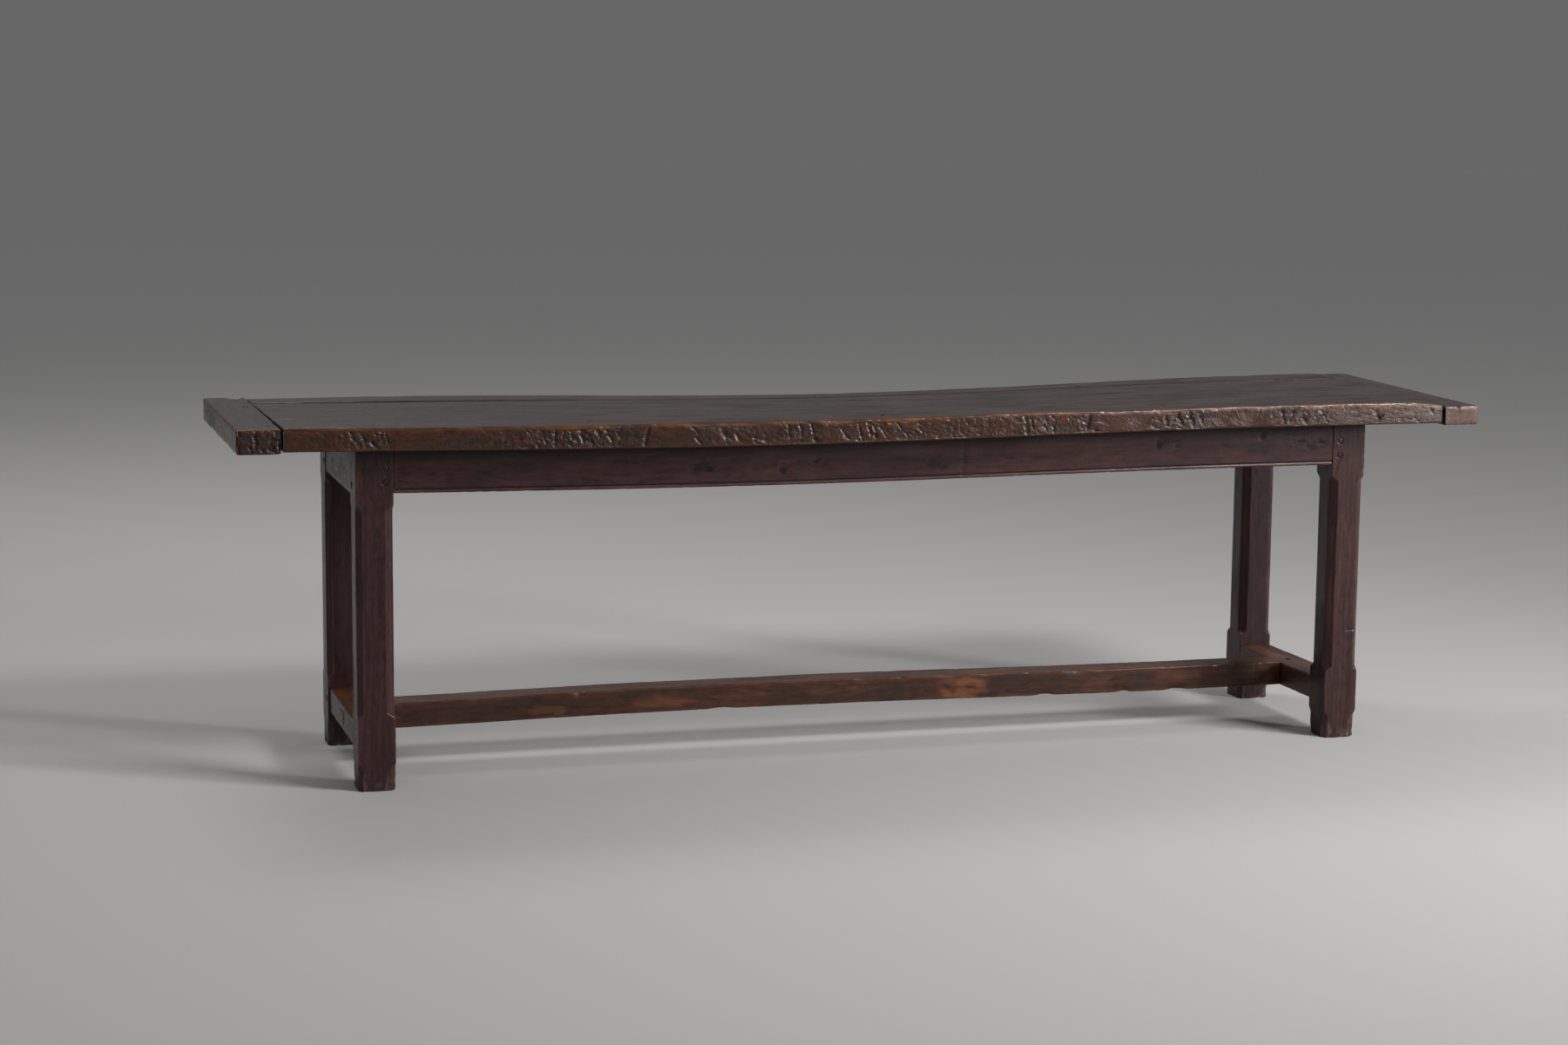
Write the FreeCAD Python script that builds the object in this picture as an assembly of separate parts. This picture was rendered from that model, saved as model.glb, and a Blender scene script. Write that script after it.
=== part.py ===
import FreeCAD, Part
import math
import os

# An oak farmhouse table: a two-plank top with breadboard ends on a pegged frame of four stop-chamfered
# legs, apron rails and a low H stretcher. Millimetres. X runs along the table, Y from its front to its
# back and Z up from the floor, and the origin is on the floor under the middle of the top.

# Top
TOP_LENGTH = 2810.0
TOP_WIDTH = 674.0
TOP_HEIGHT = 784.0
PLANK_THICKNESS = 51.0
BACK_PLANK_WIDTH = 103.0
PLANK_JOINT_GAP = 0.6
FRONT_EDGE_INSET = 2.0
BACK_EDGE_INSET = 6.0

# Sag of the old top: depths below the straight board, and where along the table they are deepest
FRONT_TOP_SAG = 9.0
BACK_TOP_SAG = 20.0
BACK_LEFT_DROP = 9.0
UNDERSIDE_SAG = 12.0
SAG_CENTRE = -290.0
BACK_SAG_CENTRE = 60.0
SAG_REACH = 1200.0
CURVE_SPANS = 16

# Breadboard ends, each with its own width, thickness and twist
LEFT_BREADBOARD_WIDTH = 92.0
LEFT_BREADBOARD_THICKNESS = 52.0
LEFT_BREADBOARD_FRONT_DROP = 2.5
LEFT_BREADBOARD_BACK_DROP = 5.5
RIGHT_BREADBOARD_WIDTH = 85.0
RIGHT_BREADBOARD_THICKNESS = 44.0
RIGHT_BREADBOARD_FRONT_DROP = 12.0
RIGHT_BREADBOARD_BACK_DROP = 2.0
BREADBOARD_GAP = 5.0
END_TONGUE_LENGTH = 45.0
END_TONGUE_THICKNESS = 14.0
END_TONGUE_RISE = 12.0
END_TONGUE_INSET = 25.0
BREADBOARD_PEG_SETBACK = 20.0
BREADBOARD_PEG_INSET = 70.0

# Loose tongues between the two planks
LOOSE_TONGUE_LENGTH = 90.0
LOOSE_TONGUE_WIDTH = 50.0
LOOSE_TONGUE_THICKNESS = 10.0
LOOSE_TONGUE_RISE = 15.0
LOOSE_TONGUE_COUNT = 4

# Legs, set in from the edges of the top
END_OVERHANG = 251.0
SIDE_OVERHANG = 64.5
LEG_SIZE = 80.0
INNER_CHAMFER = 17.0
OUTER_CHAMFER = 12.0
CHAMFER_STOP = 17.0
STOP_EASE_DEPTH = 0.35
STOP_EASE_LENGTH = 0.7
UPPER_BLOCK_DROP = 23.0
LOWER_BLOCK_RISE = 17.0
FOOT_CHAMFER = 11.0
FOOT_CHAMFER_DROP = 15.0

# Apron rails, measured down from the underside of the top
RAIL_DEPTH = 97.0
RAIL_SAG = 8.5
RAIL_THICKNESS = 28.0
RAIL_SETBACK = 1.5
END_RAIL_DEPTH = 108.0
BEAD_HEIGHT = 7.0
QUIRK_WIDTH = 2.4
QUIRK_DEPTH = 2.0
TENON_THICKNESS = 12.0
TENON_SHOULDER = 12.0
TENON_HAUNCH = 24.0
MORTISE_WALL = 14.0

# Stretchers
STRETCHER_BOTTOM = 80.0
END_STRETCHER_HEIGHT = 55.0
END_STRETCHER_WIDTH = 76.0
END_STRETCHER_TENON_THICKNESS = 24.0
END_STRETCHER_TENON_SHOULDER = 10.0
END_STRETCHER_BLIND_WALL = 30.0
CENTRE_STRETCHER_HEIGHT = 57.5
CENTRE_STRETCHER_WIDTH = 75.0
CENTRE_STRETCHER_BOW = 9.5
CENTRE_TENON_WIDTH = 56.0
CENTRE_TENON_HEIGHT = 22.0

# Pegs
PEG_RADIUS = 6.0
PEG_NOSE = 6.0
PEG_NOSE_TAPER = 0.7
PEG_PROUD = 1.6
PEG_PAST_TENON = 14.0
RAIL_PEG_SETBACK = 18.0
UPPER_PEG_INSET = 18.0
LOWER_PEG_INSET = 10.0
STRETCHER_PEG_SETBACK = 20.0
CENTRE_PEG_PAST_TENON = 8.0
TOP_PEG_DEPTH = 45.0

# Fits
FIT = 0.2
END_ROOM = 1.0
CUT_MARGIN = 5.0

# Sizes worked out from the driving ones
half_length = TOP_LENGTH / 2
half_width = TOP_WIDTH / 2
underside = TOP_HEIGHT - PLANK_THICKNESS
plank_left = -half_length + LEFT_BREADBOARD_WIDTH + BREADBOARD_GAP
plank_right = half_length - RIGHT_BREADBOARD_WIDTH - BREADBOARD_GAP
plank_front = -half_width + FRONT_EDGE_INSET
plank_back = half_width - BACK_EDGE_INSET
joint_line = plank_back - BACK_PLANK_WIDTH
end_tongue_bottom = underside + END_TONGUE_RISE
end_tongue_top = end_tongue_bottom + END_TONGUE_THICKNESS
tongue_step = (plank_right - plank_left) / LOOSE_TONGUE_COUNT

frame_x = half_length - END_OVERHANG
frame_y = half_width - SIDE_OVERHANG
shoulder_x = frame_x - LEG_SIZE
shoulder_y = frame_y - LEG_SIZE
rail_bottom = underside - RAIL_DEPTH
end_rail_bottom = underside - END_RAIL_DEPTH
tenon_near = RAIL_SETBACK + (RAIL_THICKNESS - TENON_THICKNESS) / 2
tenon_far = tenon_near + TENON_THICKNESS
tenon_length = LEG_SIZE - tenon_far - MORTISE_WALL
rail_peg_length = tenon_far + PEG_PAST_TENON
rail_line_y = frame_y - RAIL_SETBACK - RAIL_THICKNESS / 2

end_stretcher_top = STRETCHER_BOTTOM + END_STRETCHER_HEIGHT
end_stretcher_middle = STRETCHER_BOTTOM + END_STRETCHER_HEIGHT / 2
end_stretcher_outer = shoulder_x + END_STRETCHER_WIDTH
end_stretcher_line = shoulder_x + END_STRETCHER_WIDTH / 2
end_stretcher_tenon_length = LEG_SIZE - END_STRETCHER_BLIND_WALL

BREADBOARDS = {
    "left": (-1, LEFT_BREADBOARD_WIDTH, LEFT_BREADBOARD_THICKNESS,
             LEFT_BREADBOARD_FRONT_DROP, LEFT_BREADBOARD_BACK_DROP),
    "right": (1, RIGHT_BREADBOARD_WIDTH, RIGHT_BREADBOARD_THICKNESS,
              RIGHT_BREADBOARD_FRONT_DROP, RIGHT_BREADBOARD_BACK_DROP),
}
ENDS = (("left", -1), ("right", 1))
ROWS = (("front", -1), ("back", 1))

parts = {}


def vector(x, y, z):
    return FreeCAD.Vector(x, y, z)


def block(x_span, y_span, z_span):
    """A box between two values on each axis, given in either order."""
    low = [min(span) for span in (x_span, y_span, z_span)]
    size = [abs(span[1] - span[0]) for span in (x_span, y_span, z_span)]
    return Part.makeBox(size[0], size[1], size[2], vector(*low))


def grown(x_span, y_span, z_span, x_room=FIT, y_room=FIT, z_room=FIT):
    """The mortise for a block: the same spans, wider by the room on both sides."""
    spans = []
    for span, room in ((x_span, x_room), (y_span, y_room), (z_span, z_room)):
        spans.append((min(span) - room, max(span) + room))
    return block(*spans)


def dip(x, depth, centre):
    """A smooth hollow, deepest at the centre and level beyond its reach."""
    reach = min(abs(x - centre) / SAG_REACH, 1.0)
    return depth * math.cos(math.pi / 2 * reach) ** 2


def underside_z(x):
    return underside - dip(x, UNDERSIDE_SAG, SAG_CENTRE)


def top_z(x, y):
    """The worn upper face: its sag runs evenly from the front edge's to the back edge's."""
    across = (y + half_width) / TOP_WIDTH
    along = (plank_right - x) / (plank_right - plank_left)
    front_drop = dip(x, FRONT_TOP_SAG, SAG_CENTRE)
    back_drop = BACK_LEFT_DROP * along + dip(x, BACK_TOP_SAG, BACK_SAG_CENTRE)
    return TOP_HEIGHT - front_drop * (1 - across) - back_drop * across


def rail_bottom_z(x):
    return rail_bottom - dip(x, RAIL_SAG, SAG_CENTRE)


def stretcher_bottom_z(x):
    return STRETCHER_BOTTOM + dip(x, CENTRE_STRETCHER_BOW, SAG_CENTRE)


def side_outline(x_start, x_end, y, lower, upper):
    """A closed outline in an upright plane along X, in short spans between two height functions."""
    stations = [x_start + (x_end - x_start) * index / CURVE_SPANS for index in range(CURVE_SPANS + 1)]
    points = [vector(x, y, upper(x)) for x in stations]
    points += [vector(x, y, lower(x)) for x in reversed(stations)]
    return Part.makePolygon(points + points[:1])


def slab(x_start, x_end, y_start, y_end, lower, upper):
    """A straight-sided board whose upper and lower edges follow height functions of x."""
    face = Part.Face(side_outline(x_start, x_end, y_start, lower, upper))
    return face.extrude(vector(0, y_end - y_start, 0))


def plank_blank(y_front, y_back):
    """A sagged plank from its front edge to its back edge, with square ends."""
    outlines = []
    for y in (y_front, y_back):
        outlines.append(side_outline(plank_left, plank_right, y, underside_z, lambda x, y=y: top_z(x, y)))
    return Part.makeLoft(outlines, True, True)


def peg(head, direction, length):
    """A round peg whose head stands proud of the face at the given point, with a tapered nose."""
    start = head - direction * PEG_PROUD
    shank = Part.makeCylinder(PEG_RADIUS, length + PEG_PROUD - PEG_NOSE, start, direction)
    nose_base = head + direction * (length - PEG_NOSE)
    nose = Part.makeCone(PEG_RADIUS, PEG_RADIUS * PEG_NOSE_TAPER, PEG_NOSE, nose_base, direction)
    return shank.fuse(nose).removeSplitter()


def peg_hole(head, direction, length):
    start = head - direction * CUT_MARGIN
    return Part.makeCylinder(PEG_RADIUS + FIT, length + CUT_MARGIN + END_ROOM, start, direction)


def peg_heights(tenon_span):
    """Where the two pegs of a rail tenon go: in from its upper and its lower edge."""
    return tenon_span[1] - UPPER_PEG_INSET, tenon_span[0] + LOWER_PEG_INSET


def cut(name, *tools):
    for tool in tools:
        parts[name] = parts[name].cut(tool)


def add_pegs(node, places, length, drilled):
    """One node of alike pegs at (head, direction) places, with their holes in the drilled nodes."""
    pegs = []
    for head, direction in places:
        pegs.append(peg(head, direction, length))
        for name in drilled:
            cut(name, peg_hole(head, direction, length))
    parts.setdefault(node, []).extend(pegs)


def corner_cutter(x_sign, y_sign, chamfer, profile):
    """Cuts one upright corner of a leg: the profile gives (depth share, z) from the corner inward."""
    inward = vector(-x_sign, -y_sign, 0).normalize()
    along = vector(-y_sign, x_sign, 0).normalize()
    corner = vector(x_sign * LEG_SIZE / 2, y_sign * LEG_SIZE / 2, 0)
    depth = chamfer / math.sqrt(2)
    reach = chamfer + CUT_MARGIN
    points = []
    for share, z in profile:
        offset = depth * share if share >= 0 else -CUT_MARGIN
        points.append(corner + inward * offset - along * reach + vector(0, 0, z))
    outline = Part.makePolygon(points + points[:1])
    return Part.Face(outline).extrude(along * (2 * reach))


def leg_blank(x_sign, y_sign):
    """A square leg with stop-chamfered corners between its two blocks, and a chamfered foot."""
    half = LEG_SIZE / 2
    leg = block((-half, half), (-half, half), (0, underside + CUT_MARGIN))
    low_stop = end_stretcher_top + LOWER_BLOCK_RISE
    high_stop = rail_bottom - UPPER_BLOCK_DROP
    ease = CHAMFER_STOP * STOP_EASE_LENGTH
    shaft = ((-1, low_stop), (0, low_stop), (STOP_EASE_DEPTH, low_stop + ease),
             (1, low_stop + CHAMFER_STOP), (1, high_stop - CHAMFER_STOP),
             (STOP_EASE_DEPTH, high_stop - ease), (0, high_stop), (-1, high_stop))
    foot_start = STRETCHER_BOTTOM - FOOT_CHAMFER_DROP
    foot = ((-1, -CUT_MARGIN), (1, -CUT_MARGIN), (1, foot_start - CHAMFER_STOP),
            (0, foot_start), (-1, foot_start))
    for corner_x in (-1, 1):
        chamfer = OUTER_CHAMFER if corner_x == x_sign else INNER_CHAMFER
        for corner_y in (-1, 1):
            leg = leg.cut(corner_cutter(corner_x, corner_y, chamfer, shaft))
            leg = leg.cut(corner_cutter(corner_x, corner_y, FOOT_CHAMFER, foot))
    leg.translate(vector(x_sign * (frame_x - half), y_sign * (frame_y - half), 0))
    return leg


# The two planks, with end tongues for the breadboard ends
plank_spans = {
    "top_front_plank": (plank_front, joint_line - PLANK_JOINT_GAP / 2),
    "top_back_plank": (joint_line + PLANK_JOINT_GAP / 2, plank_back),
}
for name, (y_front, y_back) in plank_spans.items():
    parts[name] = plank_blank(y_front, y_back)
whole_top = plank_blank(plank_front, plank_back)

end_tongue_z = (end_tongue_bottom, end_tongue_top)
end_tongues = {"left": [], "right": []}
for name, (y_front, y_back) in plank_spans.items():
    tongue_y = (y_front + END_TONGUE_INSET, y_back - END_TONGUE_INSET)
    for end, x_sign in ENDS:
        shoulder = plank_left if x_sign < 0 else plank_right
        tongue_x = (shoulder - x_sign * CUT_MARGIN, shoulder + x_sign * END_TONGUE_LENGTH)
        parts[name] = parts[name].fuse(block(tongue_x, tongue_y, end_tongue_z)).removeSplitter()
        end_tongues[end].append((name, tongue_x, tongue_y))

# Loose tongues, half in each plank, in mortises that follow the sagged underside
parts["plank_tongues"] = []
for index in range(LOOSE_TONGUE_COUNT):
    x = plank_left + tongue_step * (index + 0.5)
    tongue_bottom = underside_z(x) + LOOSE_TONGUE_RISE
    spans = ((x - LOOSE_TONGUE_LENGTH / 2, x + LOOSE_TONGUE_LENGTH / 2),
             (joint_line - LOOSE_TONGUE_WIDTH / 2, joint_line + LOOSE_TONGUE_WIDTH / 2),
             (tongue_bottom, tongue_bottom + LOOSE_TONGUE_THICKNESS))
    parts["plank_tongues"].append(block(*spans))
    for name in plank_spans:
        cut(name, grown(*spans))

# Breadboard ends: twisted boards across the plank ends, mortised for the end tongues and pegged
for end, (x_sign, width, thickness, front_drop, back_drop) in BREADBOARDS.items():
    inner = x_sign * (half_length - width)
    outer = x_sign * half_length
    outlines = []
    for y, drop in ((-half_width, front_drop), (half_width, back_drop)):
        top = TOP_HEIGHT - drop
        corners = [vector(inner, y, top), vector(outer, y, top),
                   vector(outer, y, top - thickness), vector(inner, y, top - thickness)]
        outlines.append(Part.makePolygon(corners + corners[:1]))
    node = end + "_breadboard_end"
    parts[node] = Part.makeLoft(outlines, True, True)
    places = []
    for plank, tongue_x, tongue_y in end_tongues[end]:
        cut(node, grown(tongue_x, tongue_y, end_tongue_z, x_room=END_ROOM))
        if plank == "top_front_plank":
            peg_rows = (tongue_y[0] + BREADBOARD_PEG_INSET, tongue_y[1] - BREADBOARD_PEG_INSET)
        else:
            peg_rows = ((tongue_y[0] + tongue_y[1]) / 2,)
        places.extend((plank, y) for y in peg_rows)
    for plank, y in places:
        slope = (y + half_width) / TOP_WIDTH
        head = vector(inner + x_sign * BREADBOARD_PEG_SETBACK, y,
                      TOP_HEIGHT - front_drop - (back_drop - front_drop) * slope)
        add_pegs(end + "_breadboard_pegs", [(head, vector(0, 0, -1))], thickness, [node, plank])

# Legs, scribed to the underside of the planks
for end, x_sign in ENDS:
    for row, y_sign in ROWS:
        node = row + "_" + end + "_leg"
        parts[node] = leg_blank(x_sign, y_sign)
        cut(node, whole_top)

# Long rails: sagged boards flush with the legs, with a scratched bead on the outer face
tenon_z = (rail_bottom + TENON_SHOULDER, underside - TENON_HAUNCH)
for row, y_sign in ROWS:
    node = row + "_apron_rail"
    face_y = y_sign * (frame_y - RAIL_SETBACK)
    inner_y = face_y - y_sign * RAIL_THICKNESS
    parts[node] = slab(-shoulder_x, shoulder_x, face_y, inner_y, rail_bottom_z,
                       lambda x: underside + CUT_MARGIN)
    cut(node, whole_top)
    quirk = slab(-shoulder_x - CUT_MARGIN, shoulder_x + CUT_MARGIN,
                 face_y + y_sign * CUT_MARGIN, face_y - y_sign * QUIRK_DEPTH,
                 lambda x: rail_bottom_z(x) + BEAD_HEIGHT,
                 lambda x: rail_bottom_z(x) + BEAD_HEIGHT + QUIRK_WIDTH)
    cut(node, quirk)
    tenon_y = (y_sign * (frame_y - tenon_near), y_sign * (frame_y - tenon_far))
    for end, x_sign in ENDS:
        tenon_x = (x_sign * (shoulder_x - CUT_MARGIN), x_sign * (shoulder_x + tenon_length))
        parts[node] = parts[node].fuse(block(tenon_x, tenon_y, tenon_z)).removeSplitter()
        leg = row + "_" + end + "_leg"
        cut(leg, grown(tenon_x, tenon_y, tenon_z, x_room=END_ROOM))
        peg_x = x_sign * (shoulder_x + RAIL_PEG_SETBACK)
        places = []
        for peg_z in peg_heights(tenon_z):
            places.append((vector(peg_x, y_sign * frame_y, peg_z), vector(0, -y_sign, 0)))
        add_pegs(row + "_rail_pegs", places, rail_peg_length, [leg, node])

# End rails: straight boards between the front and back legs
end_tenon_z = (end_rail_bottom + TENON_SHOULDER, underside - TENON_HAUNCH)
for end, x_sign in ENDS:
    node = end + "_end_rail"
    face_x = x_sign * (frame_x - RAIL_SETBACK)
    parts[node] = block((face_x, face_x - x_sign * RAIL_THICKNESS), (-shoulder_y, shoulder_y),
                        (end_rail_bottom, underside + CUT_MARGIN))
    cut(node, whole_top)
    tenon_x = (x_sign * (frame_x - tenon_near), x_sign * (frame_x - tenon_far))
    for row, y_sign in ROWS:
        tenon_y = (y_sign * (shoulder_y - CUT_MARGIN), y_sign * (shoulder_y + tenon_length))
        parts[node] = parts[node].fuse(block(tenon_x, tenon_y, end_tenon_z)).removeSplitter()
        leg = row + "_" + end + "_leg"
        cut(leg, grown(tenon_x, tenon_y, end_tenon_z, y_room=END_ROOM))
        peg_y = y_sign * (shoulder_y + RAIL_PEG_SETBACK)
        places = []
        for peg_z in peg_heights(end_tenon_z):
            places.append((vector(x_sign * frame_x, peg_y, peg_z), vector(-x_sign, 0, 0)))
        add_pegs(end + "_end_rail_pegs", places, rail_peg_length, [leg, node])

# End stretchers, tenoned into the lower blocks of the legs and pegged from outside
shoulder_inset = END_STRETCHER_TENON_SHOULDER
stretcher_tenon_z = (STRETCHER_BOTTOM + shoulder_inset, end_stretcher_top - shoulder_inset)
for end, x_sign in ENDS:
    node = end + "_end_stretcher"
    parts[node] = block((x_sign * shoulder_x, x_sign * end_stretcher_outer), (-shoulder_y, shoulder_y),
                        (STRETCHER_BOTTOM, end_stretcher_top))
    half_tenon = END_STRETCHER_TENON_THICKNESS / 2
    tenon_x = (x_sign * (end_stretcher_line - half_tenon), x_sign * (end_stretcher_line + half_tenon))
    peg_length = frame_x - end_stretcher_line + half_tenon + PEG_PAST_TENON
    for row, y_sign in ROWS:
        tenon_y = (y_sign * (shoulder_y - CUT_MARGIN), y_sign * (shoulder_y + end_stretcher_tenon_length))
        parts[node] = parts[node].fuse(block(tenon_x, tenon_y, stretcher_tenon_z)).removeSplitter()
        leg = row + "_" + end + "_leg"
        cut(leg, grown(tenon_x, tenon_y, stretcher_tenon_z, y_room=END_ROOM))
        head = vector(x_sign * frame_x, y_sign * (shoulder_y + STRETCHER_PEG_SETBACK), end_stretcher_middle)
        add_pegs(end + "_stretcher_pegs", [(head, vector(-x_sign, 0, 0))], peg_length, [leg, node])

# Centre stretcher: a bowed beam whose tenons run through the end stretchers
parts["centre_stretcher"] = slab(
    -shoulder_x, shoulder_x, -CENTRE_STRETCHER_WIDTH / 2, CENTRE_STRETCHER_WIDTH / 2,
    stretcher_bottom_z, lambda x: stretcher_bottom_z(x) + CENTRE_STRETCHER_HEIGHT)
centre_tenon_y = (-CENTRE_TENON_WIDTH / 2, CENTRE_TENON_WIDTH / 2)
centre_tenon_z = (end_stretcher_middle - CENTRE_TENON_HEIGHT / 2,
                  end_stretcher_middle + CENTRE_TENON_HEIGHT / 2)
centre_peg_length = end_stretcher_top - centre_tenon_z[0] + CENTRE_PEG_PAST_TENON
for end, x_sign in ENDS:
    node = end + "_end_stretcher"
    tenon_x = (x_sign * (shoulder_x - CUT_MARGIN), x_sign * end_stretcher_outer)
    tenon = block(tenon_x, centre_tenon_y, centre_tenon_z)
    parts["centre_stretcher"] = parts["centre_stretcher"].fuse(tenon).removeSplitter()
    cut(node, grown(tenon_x, centre_tenon_y, centre_tenon_z, x_room=END_ROOM))
    head = vector(x_sign * end_stretcher_line, 0, end_stretcher_top)
    add_pegs("centre_stretcher_pegs", [(head, vector(0, 0, -1))], centre_peg_length,
             ["centre_stretcher", node])

# Pegs down through each plank into the long rail below it, midway between the loose tongues
for row, y_sign in ROWS:
    for index in range(1, LOOSE_TONGUE_COUNT):
        x = plank_left + tongue_step * index
        y = y_sign * rail_line_y
        head = vector(x, y, top_z(x, y))
        length = head.z - underside_z(x) + TOP_PEG_DEPTH
        add_pegs(row + "_top_pegs", [(head, vector(0, 0, -1))], length,
                 ["top_" + row + "_plank", row + "_apron_rail"])

os.makedirs("parts", exist_ok=True)
for name, shape in parts.items():
    solid = Part.makeCompound(shape) if isinstance(shape, list) else shape
    if not solid.isValid():
        raise ValueError("invalid shape: " + name)
    solid.exportStep("parts/" + name + ".step")
    print(name, len(solid.Solids), round(solid.Volume / 1000.0), "cm3")
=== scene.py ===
import itertools
import math

import bpy
import numpy as np
from mathutils import Matrix, Vector


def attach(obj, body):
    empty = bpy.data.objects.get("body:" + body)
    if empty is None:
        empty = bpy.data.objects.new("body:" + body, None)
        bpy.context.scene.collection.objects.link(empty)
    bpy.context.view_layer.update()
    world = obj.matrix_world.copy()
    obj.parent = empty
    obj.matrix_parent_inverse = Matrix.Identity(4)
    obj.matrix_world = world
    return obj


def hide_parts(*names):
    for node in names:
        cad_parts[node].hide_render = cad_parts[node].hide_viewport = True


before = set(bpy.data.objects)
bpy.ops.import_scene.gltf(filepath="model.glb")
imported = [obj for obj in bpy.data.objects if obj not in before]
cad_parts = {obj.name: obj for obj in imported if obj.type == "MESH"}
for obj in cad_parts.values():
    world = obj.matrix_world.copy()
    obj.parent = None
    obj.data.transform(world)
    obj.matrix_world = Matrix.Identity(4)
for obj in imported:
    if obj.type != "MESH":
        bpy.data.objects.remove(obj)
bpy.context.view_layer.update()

# An old oak farmhouse table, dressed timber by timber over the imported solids. Lengths are in millimetres,
# as in the part's source, until add_piece turns them into metres. X runs along the table, Y from its
# front to its back and Z up from the floor.
MM = 0.001

# Top, as in the part's source
HALF_WIDTH = 337.0
TOP_HEIGHT = 784.0
UNDERSIDE = 733.0
PLANK_THICKNESS = TOP_HEIGHT - UNDERSIDE
PLANK_LEFT = -1308.0
PLANK_RIGHT = 1315.0
PLANK_FRONT = -335.0
PLANK_BACK = 331.0
JOINT_LINE = 228.0
JOINT_GAP = 0.6
FRONT_TOP_SAG = 9.0
BACK_TOP_SAG = 20.0
BACK_LEFT_DROP = 9.0
UNDERSIDE_SAG = 12.0
SAG_CENTRE = -290.0
BACK_SAG_CENTRE = 60.0
SAG_REACH = 1200.0

# Breadboard ends: inner and outer X, thickness, drop of the front and of the back end
BREADBOARDS = {
    "left": (-1313.0, -1405.0, 52.0, 2.5, 5.5),
    "right": (1320.0, 1405.0, 44.0, 12.0, 2.0),
}
END_TONGUE_INSET = 25.0
END_TONGUE_BOTTOM = 12.0
END_TONGUE_TOP = 26.0

# Frame, as in the part's source
FRAME_X = 1154.0
FRAME_Y = 272.5
LEG_SIZE = 80.0
SHOULDER_X = FRAME_X - LEG_SIZE
SHOULDER_Y = FRAME_Y - LEG_SIZE
INNER_CHAMFER = 17.0
OUTER_CHAMFER = 12.0
FOOT_CHAMFER = 11.0
LOW_STOP = 152.0
HIGH_STOP = 613.0
CHAMFER_STOP = 17.0
FOOT_STOP = 65.0
RAIL_BOTTOM = 636.0
RAIL_SAG = 8.5
RAIL_THICKNESS = 28.0
RAIL_SETBACK = 1.5
END_RAIL_BOTTOM = 625.0
BEAD_HEIGHT = 7.0
QUIRK_WIDTH = 2.4
QUIRK_DEPTH = 2.0
STRETCHER_BOTTOM = 80.0
END_STRETCHER_TOP = 135.0
END_STRETCHER_OUTER = SHOULDER_X + 76.0
CENTRE_STRETCHER_HEIGHT = 57.5
CENTRE_STRETCHER_HALF_WIDTH = 37.5
CENTRE_STRETCHER_BOW = 9.5
CENTRE_TENON_HALF_WIDTH = 28.0
CENTRE_TENON_Z = (96.5, 118.5)

# Pegs, as in the part's source: heads on the frame's faces and on the top
PEG_RADIUS = 6.0
RAIL_PEG_X = SHOULDER_X + 18.0
RAIL_PEG_Z = (691.0, 658.0)
END_RAIL_PEG_Y = SHOULDER_Y + 18.0
END_RAIL_PEG_Z = (691.0, 647.0)
STRETCHER_PEG_Y = SHOULDER_Y + 20.0
STRETCHER_PEG_Z = 107.5
CENTRE_PEG_X = 1112.0
TOP_PEG_X = (-652.25, 3.5, 659.25)
TOP_PEG_Y = 257.0
BREADBOARD_PEG_SETBACK = 20.0
BREADBOARD_PEG_Y = (-240.0, 132.7, 279.65)

ENDS = (("left", -1), ("right", 1))
ROWS = (("front", -1), ("back", 1))


# Heights of the sagged timbers

def dip(x, depth, centre):
    """A smooth hollow, deepest at the centre and level beyond its reach."""
    reach = np.minimum(np.abs(x - centre) / SAG_REACH, 1.0)
    return depth * np.cos(math.pi / 2 * reach) ** 2


def underside_z(x):
    return UNDERSIDE - dip(x, UNDERSIDE_SAG, SAG_CENTRE)


def top_z(x, y):
    across = (y + HALF_WIDTH) / (2 * HALF_WIDTH)
    along = (PLANK_RIGHT - x) / (PLANK_RIGHT - PLANK_LEFT)
    front_drop = dip(x, FRONT_TOP_SAG, SAG_CENTRE)
    back_drop = BACK_LEFT_DROP * along + dip(x, BACK_TOP_SAG, BACK_SAG_CENTRE)
    return TOP_HEIGHT - front_drop * (1 - across) - back_drop * across


def rail_bottom_z(x):
    return RAIL_BOTTOM - dip(x, RAIL_SAG, SAG_CENTRE)


def stretcher_bottom_z(x):
    return STRETCHER_BOTTOM + dip(x, CENTRE_STRETCHER_BOW, SAG_CENTRE)


def breadboard_top_z(y, front_drop, back_drop):
    across = (y + HALF_WIDTH) / (2 * HALF_WIDTH)
    return TOP_HEIGHT - front_drop - (back_drop - front_drop) * across


# Repeatable noise

def ease(low, high, values):
    """0 below low, 1 above high and smooth between."""
    share = np.clip((values - low) / (high - low), 0.0, 1.0)
    return share * share * (3.0 - 2.0 * share)


def scramble(cells, seed):
    """A repeatable number from -1 to 1 for each row of three whole numbers."""
    mixed = cells[:, 0] * 374761393 + cells[:, 1] * 668265263 + cells[:, 2] * 1440662683 + seed * 1013904223
    mixed = ((mixed ^ (mixed >> 13)) * 1274126177) & 0xFFFFFFFF
    mixed = ((mixed ^ (mixed >> 15)) * 2246822519) & 0xFFFFFFFF
    return ((mixed >> 8) & 0xFFFF) / 32767.5 - 1.0


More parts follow.
